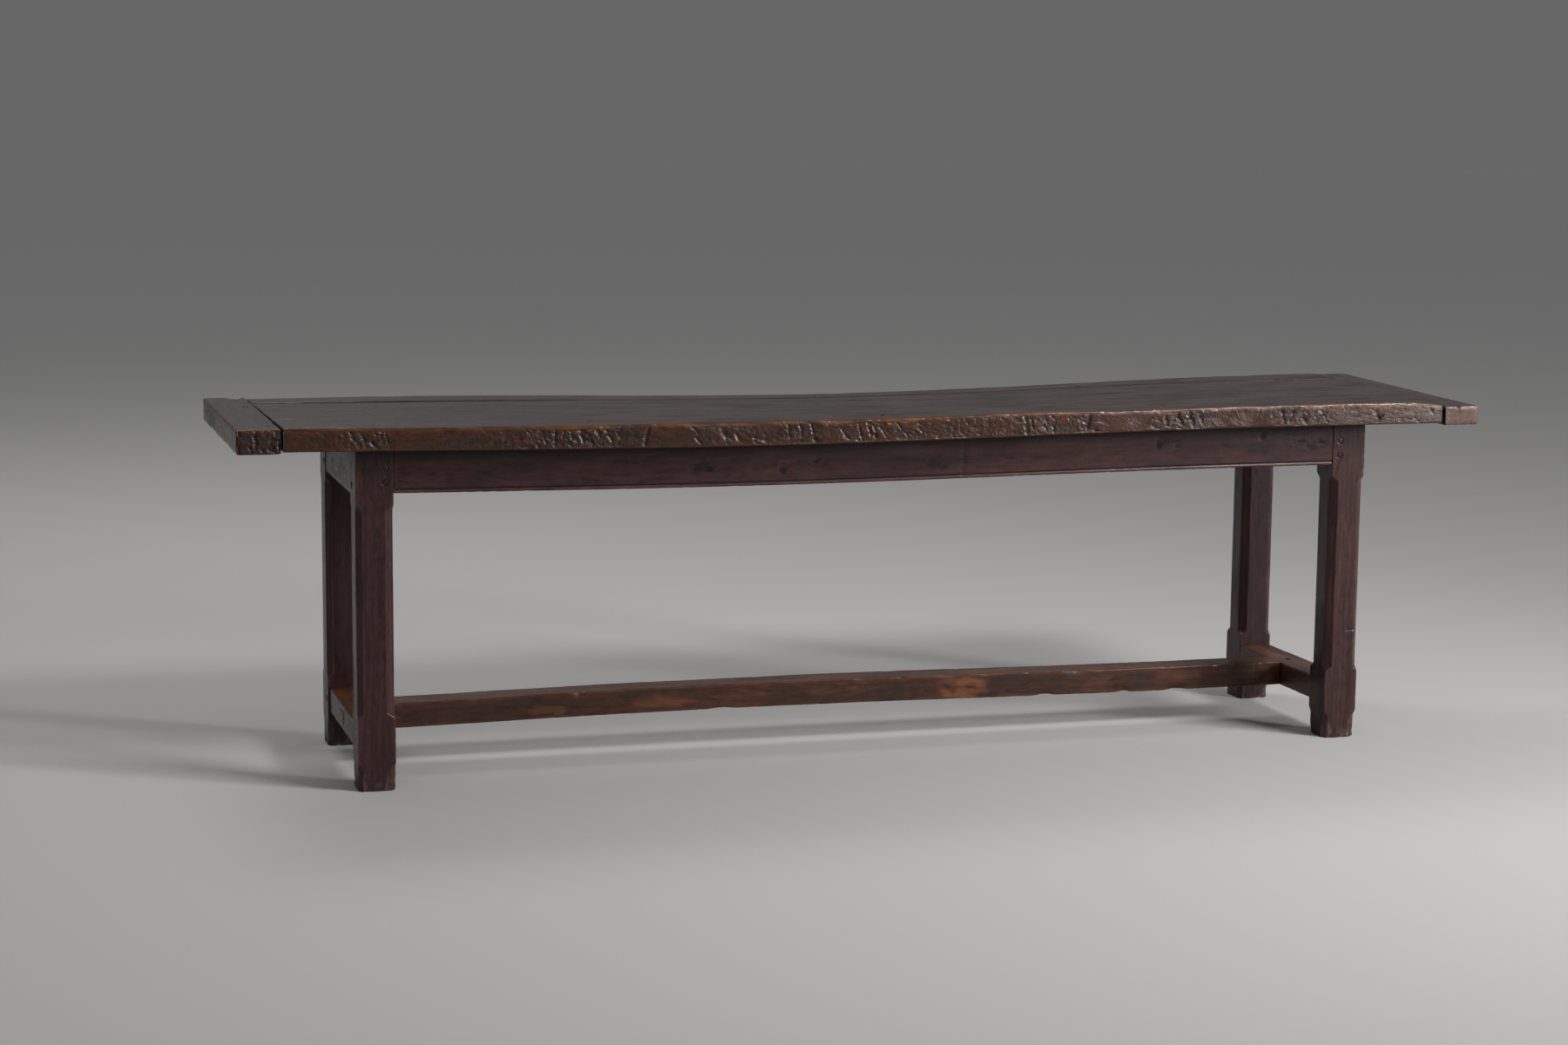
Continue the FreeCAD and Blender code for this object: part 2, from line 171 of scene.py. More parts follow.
def noise(points, size, seed):
    """Smooth noise from about -1 to 1; size is the width of its patches on each axis."""
    scaled = points / np.asarray(size, float)
    cell = np.floor(scaled).astype(np.int64)
    inside = scaled - cell
    blend = inside ** 3 * (inside * (inside * 6.0 - 15.0) + 10.0)
    total = np.zeros(len(points))
    for corner in itertools.product((0, 1), repeat=3):
        step = np.array(corner)
        weight = np.prod(np.where(step, blend, 1.0 - blend), axis=1)
        slope = np.zeros(len(points))
        for axis in range(3):
            slope += (inside[:, axis] - step[axis]) * scramble(cell + step, 3 * seed + axis)
        total += weight * slope
    return 1.6 * total


def layered_noise(points, size, seed, layers=3):
    """Noise with finer layers added, each half as wide and half as strong."""
    size = np.asarray(size, float)
    return sum(noise(points, size / 2 ** layer, seed + 101 * layer) / 2 ** layer for layer in range(layers))


def facets(u, v, size, seed):
    """Hewn facets: a depth from 0 to about 1 that tilts its own way in each uneven cell."""
    nearest = np.full(len(u), np.inf)
    depth = np.zeros(len(u))
    for step in itertools.product((-1, 0, 1), repeat=2):
        cells = np.floor(np.column_stack([u / size[0] + step[0], v / size[1] + step[1], np.zeros(len(u))]))
        cells = cells.astype(np.int64)
        place_u, place_v, level, tilt_u, tilt_v = (scramble(cells, 5 * seed + number) for number in range(5))
        away_u = u / size[0] - cells[:, 0] - 0.5 - 0.45 * place_u
        away_v = v / size[1] - cells[:, 1] - 0.5 - 0.45 * place_v
        gap = np.hypot(away_u, away_v)
        plane = 0.5 + 0.3 * level + 0.8 * (tilt_u * away_u + tilt_v * away_v)
        depth = np.where(gap < nearest, plane, depth)
        nearest = np.minimum(gap, nearest)
    return np.clip(depth, 0.0, 1.3)


# Closed grids

EDGE_STEPS = (0.0, 0.8, 1.8, 3.2, 5.0, 7.5)
PEG_STEPS = (-9.5, -7.6, -6.7, -5.6, -3.0, 0.0, 3.0, 5.6, 6.7, 7.6, 9.5)


def grid_lines(low, high, step, edges=EDGE_STEPS, extra=(), far_edges=None):
    """Grid lines across a span, closer together at its two edges and at the extra places."""
    far_edges = edges if far_edges is None else far_edges
    start, end = low + edges[-1], high - far_edges[-1]
    inner = np.linspace(start, end, max(int(round((end - start) / step)), 1) + 1)
    values = np.concatenate([low + np.array(edges[:-1]), inner, high - np.array(far_edges[:-1]), extra])
    values = np.unique(np.round(values, 3))
    return values[np.concatenate([[True], np.diff(values) > 0.35])]


def around(centres):
    """Extra grid lines that give the pegs at these centres a round rim."""
    return [centre + step for centre in centres for step in PEG_STEPS]


def lattice(x_lines, y_lines, z_lines):
    """The closed surface of a box of grid lines: its points and its outward quads."""
    spans = (x_lines, y_lines, z_lines)
    counts = tuple(len(span) for span in spans)
    cells = np.indices(counts)
    outer = np.zeros(counts, bool)
    for axis in range(3):
        outer |= (cells[axis] == 0) | (cells[axis] == counts[axis] - 1)
    numbers = np.full(counts, -1)
    numbers[outer] = np.arange(outer.sum())
    points = np.stack([spans[axis][cells[axis][outer]] for axis in range(3)], axis=1)
    faces = []
    for axis in range(3):
        for side in (0, -1):
            sheet = np.take(numbers, side, axis=axis)
            quads = np.stack([sheet[:-1, :-1], sheet[1:, :-1], sheet[1:, 1:], sheet[:-1, 1:]], axis=-1)
            outward = (side == -1) != (axis == 1)
            faces.extend(quads.reshape(-1, 4)[:, ::1 if outward else -1].tolist())
    return points, faces


def tube(stations, fine_step, ring):
    """A closed bar along X; ring gives the y and z of each long line, and whether it has finer stations."""
    counts = np.maximum(np.round(np.diff(stations) / fine_step).astype(int), 1)
    shared = np.concatenate([[0], np.cumsum(counts)])
    every = np.arange(shared[-1] + 1)
    fine = np.array([line[2] for line in ring])
    kept = np.zeros((len(every), len(ring)), bool)
    kept[shared] = True
    kept[:, fine] = True
    numbers = np.full(kept.shape, -1)
    numbers[kept] = np.arange(kept.sum())
    rows, columns = np.nonzero(kept)
    sections = np.array([line[:2] for line in ring])
    points = np.column_stack([np.interp(every, shared, stations)[rows], sections[columns]])
    faces = [numbers[0].tolist(), numbers[-1, ::-1].tolist()]
    for column, following in enumerate(np.roll(np.arange(len(ring)), -1)):
        near, far = numbers[:, column], numbers[:, following]
        if fine[column] == fine[following]:
            along = every if fine[column] else shared
            quads = np.stack([near[along[:-1]], near[along[1:]], far[along[1:]], far[along[:-1]]], axis=-1)
            faces.extend(quads.tolist())
            continue
        for first, last in zip(shared[:-1], shared[1:]):
            face = np.concatenate([near[first:last + 1], far[first:last + 1][::-1]])
            faces.append(face[face >= 0].tolist())
    return points, faces


# Worn timber

# Shares of rubbed wood, of grime with painted shade, of burred wood, and of bleached wood with painted sheen
SHARES = ("wear", "dirt", "burr", "bleach")


def fade(distance, width):
    """1 at no distance, falling away over the width."""
    return np.exp(-(distance / width) ** 2)


def spot(u, v, place, size):
    """1 at the place, falling away over the two sizes."""
    return np.exp(-((u - place[0]) / size[0]) ** 2 - ((v - place[1]) / size[1]) ** 2)


def ragged_spot(u, v, row, ragged, low):
    """A spot with a ragged rim, from a row that starts with its place and its two sizes."""
    return ease(low, 0.75, spot(u, v, row[:2], row[2:4]) * ragged)


def stroke(u, v, line, width):
    """1 on the line from (u0, v0) to (u1, v1), falling away over its width."""
    u0, v0, u1, v1 = line
    run_u, run_v = u1 - u0, v1 - v0
    share = np.clip(((u - u0) * run_u + (v - v0) * run_v) / (run_u ** 2 + run_v ** 2 + 1e-9), 0.0, 1.0)
    return fade(np.hypot(u - u0 - share * run_u, v - v0 - share * run_v), width)


class Form:
    """One closed form and what age has done at each of its points, with painted shade and sheen: relief depth
    in mm, then the shares.
    """

    def __init__(self, points, faces, axis):
        self.points, self.faces, self.axis = points, faces, axis
        self.depth = np.zeros(len(points))
        self.shares = {key: np.zeros(len(points)) for key in SHARES}

    def press(self, shape, depth=0.0, **shares):
        """Lowers the surface by the depth where the shape is 1, and raises the shares there."""
        self.depth += depth * shape
        for key, share in shares.items():
            self.shares[key] = np.maximum(self.shares[key], share * shape)

    def settle(self, placed, pith, shift, knots=()):
        """Takes its place, and its grain in metres: along its axis, then out from the pith in two directions.

        The shift along the grain gives each form its own part of the pattern, and knots bend it.
        """
        self.placed = placed
        turned = self.points[:, [self.axis, (self.axis + 1) % 3, (self.axis + 2) % 3]]
        self.grain = (turned - np.array([-shift, *pith])) * MM
        for x, y, z, radius, rise in knots:
            away = np.linalg.norm(self.points - np.array([x, y, z]), axis=1)
            self.grain[:, 2] += rise * MM * fade(away, radius)
        return self


class Timber(Form):
    """A straight timber with its grain along one axis, to be rounded and worn inside its spans."""

    def __init__(self, axis, seed, spans, grid):
        super().__init__(*grid, axis)
        self.low, self.high = np.sort(np.array(spans, float), axis=1).T
        self.seed = seed

    def noise(self, size, number, layers=1):
        """Noise over the points; its number keeps it apart from the timber's other noise."""
        return layered_noise(self.points, size, self.seed + number, layers)

    def round(self, radius, power=2.0):
        """Rounds the edges by a radius for each point and axis, or bevels them as power nears 1."""
        inner = np.clip(self.points, self.low + radius, self.high - radius)
        away = (self.points - inner) / radius
        away /= np.sum(np.abs(away) ** power, axis=1, keepdims=True) ** (1.0 / power)
        normals = np.sign(away) * np.abs(away) ** (power - 1.0) / radius
        self.normals = normals / np.linalg.norm(normals, axis=1, keepdims=True)
        self.body = inner + away * radius

    def facing(self, axis, sign=1, low=0.5, high=0.9):
        """1 where the surface faces along an axis."""
        return ease(low, high, sign * self.normals[:, axis])

    def weather(self, hollow, dents, chips, rub=0.8, shoulder=None):
        """The wear of every timber: hollows, dents, chipped and rubbed arrises, stains, grimy shoulders."""
        def patches(number, along, across, layers=1):
            size = np.full(3, float(across))
            size[self.axis] = along
            return self.noise(size, number, layers)

        edge = np.sort(np.minimum(self.points - self.low, self.high - self.points), axis=1)[:, 1]
        self.press(0.5 + 0.5 * patches(0, 190, 60), hollow)
        self.press(ease(0.30, 0.62, patches(1, 30, 8)), dents, dirt=0.4 * dents)
        self.press(fade(edge, 4.0) * ease(0.26, 0.5, patches(2, 17, 8)), chips, dirt=0.35)
        self.press(np.clip(fade(edge, 6.0) * (0.6 + 0.5 * patches(3, 90, 40)), 0.0, 1.0), wear=rub)
        self.press(ease(0.12, 0.5, patches(4, 210, 70, 3)), dirt=0.35)
        if shoulder:
            self.press(fade(self.high[self.axis] - np.abs(self.points[:, self.axis]), shoulder), dirt=0.8)

    def peg_rims(self, u, v, facing, places):
        """The dark worn rim round each peg on a face."""
        for place in places:
            away = np.hypot(u - place[0], v - place[1])
            self.press(fade(away - PEG_RADIUS - 0.5, 0.9) * facing, 1.3, dirt=0.95)

    def carved(self):
        """The rounded surface, lowered by its marks."""
        return self.body - self.normals * self.depth[:, None]


def squared(axis, seed, *sides):
    """A timber as a box of grid lines; a side has its span, its step, and its edge and extra lines if any."""
    grid = lattice(*(grid_lines(*sorted(span), *rest) for span, *rest in sides))
    return Timber(axis, seed, [side[0] for side in sides], grid)


def link_object(name, data):
    made = bpy.data.objects.new(name, data)
    bpy.context.scene.collection.objects.link(made)
    return made


def add_piece(node, slot, *forms):
    """A smooth dressed piece of closed forms, in metres, in place of its CAD node."""
    name = node + "_oak"
    faces = []
    start = 0
    for form in forms:
        faces.extend([[corner + start for corner in face] for face in form.faces])
        start += len(form.points)
    mesh = bpy.data.meshes.new(name)
    mesh.from_pydata((np.concatenate([form.placed for form in forms]) * MM).tolist(), [], faces)
    grain = mesh.attributes.new("grain", "FLOAT_VECTOR", "POINT")
    grain.data.foreach_set("vector", np.concatenate([form.grain for form in forms]).ravel())
    for key in SHARES:
        layer = mesh.attributes.new(key, "FLOAT", "POINT")
        layer.data.foreach_set("value", np.concatenate([form.shares[key] for form in forms]))
    mesh.shade_smooth()
    mesh.materials.append(materials[slot])
    piece = link_object(name, mesh)
    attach(piece, "root")
    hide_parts(node)


# Materials

class Graph:
    """The node tree of a material or world; a call adds a node and returns its output."""

    def __init__(self, owner):
        owner.use_nodes = True
        self.tree = owner.node_tree
        self.tree.nodes.clear()

    def feed(self, socket, value):
        if isinstance(value, bpy.types.NodeSocket):
            self.tree.links.new(value, socket)
        else:
            socket.default_value = value

    def node(self, kind, *values, output=0, **settings):
        made = self.tree.nodes.new(kind)
        for key, value in settings.items():
            setattr(made, key, value)
        for socket, value in zip(made.inputs, values):
            self.feed(socket, value)
        return made.outputs[output]

    def named(self, kind, inputs, output):
        made = self.tree.nodes.new(kind)
        for key, value in inputs.items():
            self.feed(made.inputs[key], value)
        return made.outputs[output]

    def attribute(self, name, output):
        return self.node("ShaderNodeAttribute", attribute_name=name, output=output)

    def math(self, operation, *values):
        return self.node("ShaderNodeMath", *values, operation=operation)

    def times(self, first, second):
        return self.math("MULTIPLY", first, second)

    def add(self, value, factor, base):
        """The value times the factor, added to the base."""
        return self.math("MULTIPLY_ADD", value, factor, base)

    def most(self, first, second):
        return self.math("MAXIMUM", first, second)

    def vector(self, operation, *values, output=0):
        return self.node("ShaderNodeVectorMath", *values, operation=operation, output=output)

    def noise(self, vector, along, across, detail=2.0, output="Fac"):
        scaled = self.vector("MULTIPLY", vector, (along, across, across))
        return self.named("ShaderNodeTexNoise", {"Vector": scaled, "Scale": 1.0, "Detail": detail}, output)

    def drift(self, vector, along, across):
        return self.vector("SUBTRACT", self.noise(vector, along, across, output="Color"), (0.5, 0.5, 0.5))

    def span(self, value, low, high, start=0.0, end=1.0, interpolation="SMOOTHSTEP"):
        return self.node("ShaderNodeMapRange", value, low, high, start, end, interpolation_type=interpolation)

    def mix(self, share, first, second):
        made = self.tree.nodes.new("ShaderNodeMix")
        made.data_type = "RGBA"
        for number, value in ((0, share), (6, first), (7, second)):
            self.feed(made.inputs[number], value)
        return made.outputs[2]

    def close(self, kind, shader):
        """Ends the tree in an output node."""
        self.feed(self.tree.nodes.new(kind).inputs["Surface"], shader)

    def surface(self, inputs):
        """Ends a material's tree in one shader."""
        self.close("ShaderNodeOutputMaterial", self.named("ShaderNodeBsdfPrincipled", inputs, "BSDF"))


# Of every oak: ring widths in metres, its wax, its colours of age, painted shade and painted sheen, and the
# bump's height in metres
RING_WIDTH = 0.011
BURR_RING_WIDTH = 0.0058
WAX_COAT = 0.20
WAX_ROUGHNESS = 0.17
# Grime, also used for painted shade under the top and on the left end grain
GRIME_AND_SHADE = (0.005, 0.0037, 0.0033, 1.0)
# Pale bleached wood, also used for painted sheen and painted highlights
BLEACHED_AND_SHEEN = (0.148, 0.106, 0.094, 1.0)
# Painted sheen: greys that upward faces are mixed towards, in place of reflected surroundings
SHEEN_GREY_DARK = (0.010, 0.0087, 0.0084, 1.0)
SHEEN_GREY_LIGHT = (0.046, 0.0372, 0.0345, 1.0)
BUMP_DISTANCE = 0.0016


def oak(name, dark, middle, light, rubbed, gloss, cracked, painted_sheen, relief, specular):
    """Old waxed oak: growth rings, fibres and blotches along the grain, rubbed arrises and grimy hollows,
    with painted sheen greying its upward faces and painted shade and sheen in its grime and bleach shares.
    """
    material = bpy.data.materials.new(name)
    graph = Graph(material)
    add, times, most, mix, span = graph.add, graph.times, graph.most, graph.mix, graph.span
    grain = graph.attribute("grain", "Vector")
    wear, dirt, burr, bleach = (graph.attribute(key, "Fac") for key in SHARES)

    # Grain that wanders slowly, and swirls where the wood is burred
    bent = graph.vector("MULTIPLY_ADD", graph.drift(grain, 2.6, 12.0), (0.05, 0.035, 0.035), grain)
    curl = times(burr, 0.055)
    curls = graph.node("ShaderNodeCombineXYZ", curl, curl, curl)
    bent = graph.vector("MULTIPLY_ADD", graph.drift(grain, 30.0, 30.0), curls, bent)

    # Growth rings round the heart of the tree
    radius = graph.vector("LENGTH", graph.vector("MULTIPLY", bent, (0.0, 1.0, 1.0)), output="Value")
    ring, burr_ring = (graph.math("SINE", times(radius, math.tau / width))
                       for width in (RING_WIDTH, BURR_RING_WIDTH))
    burr_line = times(span(burr_ring, 0.0, 1.0), burr)
    late_wood = most(times(span(ring, 0.1, 1.0), 0.6), burr_line)

    # Fibres, pores, blotches and cracks
    tone = graph.noise(bent, 1.7, 8.0)
    streak = graph.noise(bent, 5.0, 170.0, 3.0)
    fibre = graph.noise(bent, 24.0, 700.0)
    blotch = graph.noise(grain, 11.0, 30.0, 4.0)
    mottle = graph.noise(grain, 42.0, 95.0, 5.0)
    pores = span(fibre, 0.56, 0.72)
    specks = span(graph.noise(grain, 210.0, 520.0, 3.0), 0.60, 0.70)
    split = graph.math("ABSOLUTE", graph.math("SUBTRACT", graph.noise(bent, 1.2, 30.0, 1.0), 0.5))
    split_share = span(graph.noise(grain, 2.4, 8.0), 0.55, 0.62)
    cracks = times(span(split, 0.003, 0.013, cracked, 0.0), split_share)

    # Colour: the wood, rubbed places, bleached places with painted sheen, a painted grey sheen on the upper
    # face, and grime with painted shade
    shade = add(mottle, 0.36, add(tone, 0.34, times(streak, 0.3)))
    colour = mix(span(shade, 0.34, 0.53), dark, middle)
    colour = mix(span(shade, 0.52, 0.70, 0.0, 0.8), colour, light)
    colour = mix(times(late_wood, 0.5), colour, dark)
    colour = mix(times(wear, span(blotch, 0.30, 0.62, 0.25, 1.0)), colour, rubbed)
    colour = mix(times(bleach, span(shade, 0.36, 0.60, 0.45, 1.0)), colour, BLEACHED_AND_SHEEN)
    # Painted sheen: upward faces greyed as if they reflected their surroundings
    normal = graph.node("ShaderNodeNewGeometry", output="Normal")
    sheen_share = span(graph.node("ShaderNodeSeparateXYZ", normal, output="Z"), 0.7, 0.98, 0.0, painted_sheen)
    sheen_tone = add(late_wood, -0.22, add(streak, 0.6, shade))
    sheen_grey = mix(span(sheen_tone, 0.45, 1.0), SHEEN_GREY_DARK, SHEEN_GREY_LIGHT)
    colour = mix(times(sheen_share, span(blotch, 0.3, 0.6, 0.6, 1.0)), colour, sheen_grey)
    grime_and_shade = dirt
    for mark, share in ((pores, 0.45), (specks, 0.6), (cracks, 0.9)):
        grime_and_shade = most(grime_and_shade, times(mark, share))
    colour = mix(grime_and_shade, colour, GRIME_AND_SHADE)

    # Wax: glossier where rubbed, duller in the grime
    rough = add(dirt, 0.32, add(wear, -0.15, add(mottle, 0.36, gloss - 0.18)))

    # Raised grain, flaked where it is burred
    flakes = times(graph.noise(grain, 300.0, 300.0, 3.0), burr)
    height = add(fibre, 0.55, times(mottle, 0.6))
    late_rise = add(burr, 0.9, 0.12)
    for mark, rise in ((specks, -0.30), (late_wood, late_rise), (flakes, 1.5), (cracks, -1.2)):
        height = add(mark, rise, height)
    strength = add(wear, -0.75 * relief, relief)
    bump = {"Strength": strength, "Distance": BUMP_DISTANCE, "Height": height}
    graph.surface({
        "Base Color": colour, "Roughness": rough, "Normal": graph.named("ShaderNodeBump", bump, "Normal"),
        "Specular IOR Level": specular, "Coat Weight": WAX_COAT, "Coat Roughness": WAX_ROUGHNESS,
    })
    return material


OAKS = {
    "top_oak": dict(
        dark=(0.0140, 0.0050, 0.0028, 1), middle=(0.044, 0.0140, 0.0056, 1), light=(0.088, 0.030, 0.0098, 1),
        rubbed=(0.165, 0.052, 0.0105, 1), gloss=0.33, cracked=1.0, painted_sheen=0.66, relief=0.55, specular=0.28),
    "frame_oak": dict(
        dark=(0.0160, 0.0066, 0.0064, 1), middle=(0.041, 0.0165, 0.0160, 1), light=(0.071, 0.0295, 0.0275, 1),
        rubbed=(0.115, 0.050, 0.040, 1), gloss=0.40, cracked=0.4, painted_sheen=0.0, relief=0.34, specular=0.18),
    "stretcher_oak": dict(
        dark=(0.016, 0.0060, 0.0036, 1), middle=(0.047, 0.0165, 0.0088, 1), light=(0.098, 0.037, 0.0170, 1),
        rubbed=(0.170, 0.066, 0.027, 1), gloss=0.40, cracked=0.7, painted_sheen=0.0, relief=0.40, specular=0.22),
    "peg_oak": dict(
        dark=(0.012, 0.0048, 0.0040, 1), middle=(0.034, 0.0122, 0.0088, 1), light=(0.064, 0.0245, 0.0170, 1),
        rubbed=(0.100, 0.041, 0.027, 1), gloss=0.38, cracked=0.3, painted_sheen=0.0, relief=0.25, specular=0.22),
}
materials = {name: oak(name, **look) for name, look in OAKS.items()}


# Top planks

# The front edge along X: how far its upper arris has worn down, how rough and how burred its face is, how
# deep its relief is, the arris's radius, how evenly the arris is rubbed and how strongly a pale highlight is
# painted on it, and how much painted sheen pales the edge
FRONT_ARRIS_DROP = (
    (-1308, 0.5), (-1126, 2.1), (-954, 2.4), (-796, 2.6), (-665, 2.5), (-523, 0.6), (18, 1.1), (209, 0.0),
    (325, 0.2), (426, 0.8), (519, 3.8), (652, 3.4), (785, 0.9), (1178, 1.0), (1250, 2.5), (1302, 8.0),
    (1315, 9.0),
)
FRONT_ROUGHNESS = (
    (-1308, 0.25), (-1205, 0.35), (-1187, 0.85), (-1101, 0.85), (-1080, 0.35), (-1033, 0.12), (-923, 0.12),
    (-900, 0.3), (-812, 0.4), (-800, 0.75), (-725, 0.9), (-609, 0.9), (-588, 0.4), (-540, 0.25), (-528, 0.06),
    (-430, 0.06), (-415, 0.4), (-383, 0.75), (-347, 0.65), (-300, 0.5), (-237, 0.45), (-110, 0.5), (-77, 0.8),
    (-43, 0.75), (0, 0.55), (57, 0.75), (300, 0.75), (330, 0.9), (440, 0.9), (470, 0.5), (535, 0.2),
    (590, 0.25), (616, 1.0), (731, 0.85), (748, 0.4), (881, 0.3), (905, 0.95), (1000, 0.85), (1040, 0.55),
    (1100, 0.75), (1156, 0.95), (1210, 0.6), (1315, 0.45),
)
FRONT_BURR = (
    (-1308, 0.15), (-1180, 0.45), (-1000, 0.15), (-700, 0.5), (-520, 0.1), (-400, 0.35), (-200, 0.25),
    (50, 0.35), (440, 0.65), (560, 0.35), (640, 1.0), (760, 0.6), (840, 0.25), (930, 0.85), (1100, 0.6),
    (1315, 0.4),
)
FRONT_RELIEF = (
    (-1308, 1.1), (0, 1.0), (250, 0.8), (330, 0.85), (620, 0.75), (900, 0.6), (1050, 0.45), (1315, 0.35),
)
FRONT_ARRIS_RADIUS = ((-1308, 5.5), (-900, 6.5), (-300, 7.0), (150, 6.0), (320, 5.4), (700, 5.2), (1315, 5.0))
ARRIS_EVENNESS_AND_HIGHLIGHT = ((-1308, 0.0), (100, 0.1), (450, 0.7), (1315, 0.9))
FRONT_PAINTED_SHEEN = ((-1308, 0.0), (300, 0.0), (640, 0.08), (800, 0.08), (950, 0.25), (1100, 0.42), (1315, 0.62))
ARRIS_BEVEL = 1.4
UNDER_ARRIS_RADIUS = 3.5
INNER_EDGE_RADIUS = 1.6

# Gouges on the front edge: x and z of both ends, width and depth; those left of SHALLOW_END are shallower
FRONT_GOUGES = (
    (-1172, 772, -1160, 748, 5, 3.2), (-1150, 768, -1140, 742, 6, 3.6), (-1128, 750, -1116, 738, 7, 3.4),
    (-1101, 776, -1091, 738, 3, 3.0), (-1110, 765, -1104, 752, 4, 2.6), (-792, 768, -784, 744, 5, 3.0),
    (-770, 766, -763, 738, 5, 3.2), (-743, 776, -744, 724, 2.6, 4.5), (-712, 764, -704, 748, 6, 3.4),
    (-690, 768, -684, 742, 6, 3.6), (-672, 752, -664, 733, 5, 3.0), (-655, 766, -648, 750, 6, 3.4),
    (-634, 764, -622, 740, 6, 3.2), (-543, 764, -551, 730, 6, 2.4), (-450, 768, -434, 748, 2.4, 2.6),
    (-440, 742, -430, 730, 4, 2.8), (-382, 756, -368, 742, 8, 3.4), (-352, 748, -344, 738, 6, 2.8),
    (-312, 738, -280, 732, 5, 2.4), (-237, 768, -233, 736, 3, 2.4), (-210, 764, -204, 738, 4, 2.6),
    (-186, 768, -180, 744, 4, 2.6), (-176, 732, -166, 726, 8, 4.0), (-122, 757, -99, 730, 2.6, 3.2),
    (-79, 768, -70, 728, 3.4, 3.4), (-58, 764, -50, 738, 4, 3.0), (-44, 758, -38, 732, 3.4, 2.6),
    (-30, 754, -16, 734, 3, 2.6), (8, 763, 37, 730, 2.8, 3.4), (60, 752, 68, 742, 5, 2.6),
    (303, 774, 309, 732, 7, 3.6), (318, 764, 324, 742, 3, 3.6), (455, 772, 448, 742, 11, 3.2),
    (468, 736, 480, 730, 8, 3.0), (633, 768, 640, 744, 6, 3.2), (664, 770, 674, 748, 5, 3.4),
    (690, 776, 702, 742, 6, 3.6), (716, 764, 724, 744, 5, 2.8), (915, 770, 922, 748, 6, 3.4),
    (944, 768, 934, 748, 6, 3.4), (968, 758, 978, 738, 6, 3.2), (1003, 744, 1034, 776, 2.2, 3.0),
    (1008, 772, 1030, 742, 2.0, 2.2), (1148, 764, 1158, 746, 7, 4.0), (1166, 756, 1152, 740, 5, 3.4),
    (1246, 748, 1256, 738, 5, 3.4), (1286, 772, 1290, 760, 4, 2.6),
)
SHALLOW_END, SHALLOW_SHARE = -590, 0.75

# Knots that the front edge's rings run round: x, z, radius and how far they lift the rings
FRONT_KNOTS = (
    (572, 757, 24, 42), (838, 752, 46, 60), (764, 750, 34, 48), (-478, 752, 46, 22), (372, 748, 26, 40),
)

# Dents seen in the upper face: x, y, half length and half width, depth and grime; then how many more it has
TOP_DENTS = (
    (-610, -125, 30, 11, 5.5, 1.0), (70, 125, 40, 12, 6.0, 1.0), (45, -45, 34, 10, 5.0, 1.0),
    (-1290, -145, 24, 7, 4.0, 1.0), (-1150, 30, 50, 8, 3.6, 1.0), (-420, -180, 50, 8, 3.4, 0.9),
    (330, -150, 44, 8, 3.2, 0.9), (640, 60, 60, 9, 3.6, 0.9), (910, -70, 40, 8, 3.2, 0.9),
    (-860, -20, 44, 8, 3.6, 0.9), (-250, 90, 50, 8, 3.4, 0.9), (1160, -230, 26, 9, 3.4, 0.8),
)
MORE_TOP_DENTS = 64
dent_draws = np.random.default_rng(19)

# The planks' joint along X: how far both edges are worn down, and how much lower the front plank is beside it
JOINT_WEAR = (
    (-1308, 1.2), (-1040, 2.2), (-640, 2.2), (690, 2.0), (715, 4.0), (735, 8.0), (752, 4.0), (790, 1.4),
    (1315, 1.2),
)
JOINT_STEP = (
    (-1308, 1.0), (-1150, 3.2), (-900, 4.2), (-760, 3.4), (-640, 1.8), (-300, 1.2), (700, 1.2), (1060, 0.8),
    (1180, 2.6), (1315, 2.6),
)
STEP_REACH = 90.0

# How much of the gap before the left breadboard end the planks close
LEFT_GAP_CLOSED = 2.4

# Grid of a plank: its stations along X, the band on its show edge that has finer ones, and its lines' edges
PLANK_STATION, PLANK_FINE_STATION, FINE_BAND = 8.0, 2.0, 24.0
SHOW_EDGE = (0.0, 0.8, 1.8, 3.2, 5.0, 7.5, 11.0, 15.0, 20.0)
JOINT_EDGE = (0.0, 1.0, 2.4, 4.6, 8.0)


def read(table, x):
    """A value along X from a table of (x, value) points."""
    places, values = zip(*table)
    return np.interp(x, places, values)


def plank_warp(points):
    """Bends a straight plank to the sag of its underside and of its worn upper face."""
    x, y, height = points.T
    share = height / PLANK_THICKNESS
    low = underside_z(x)
    high = top_z(x, y)
    front_drop = read(FRONT_ARRIS_DROP, x) * np.exp(-((y - PLANK_FRONT) / 55.0) ** 2)
    step_drop = read(JOINT_STEP, x) * ease(JOINT_LINE - STEP_REACH, JOINT_LINE, y) * (y < JOINT_LINE)
    return np.column_stack([x, y, low + share * (high - front_drop - step_drop - low)])


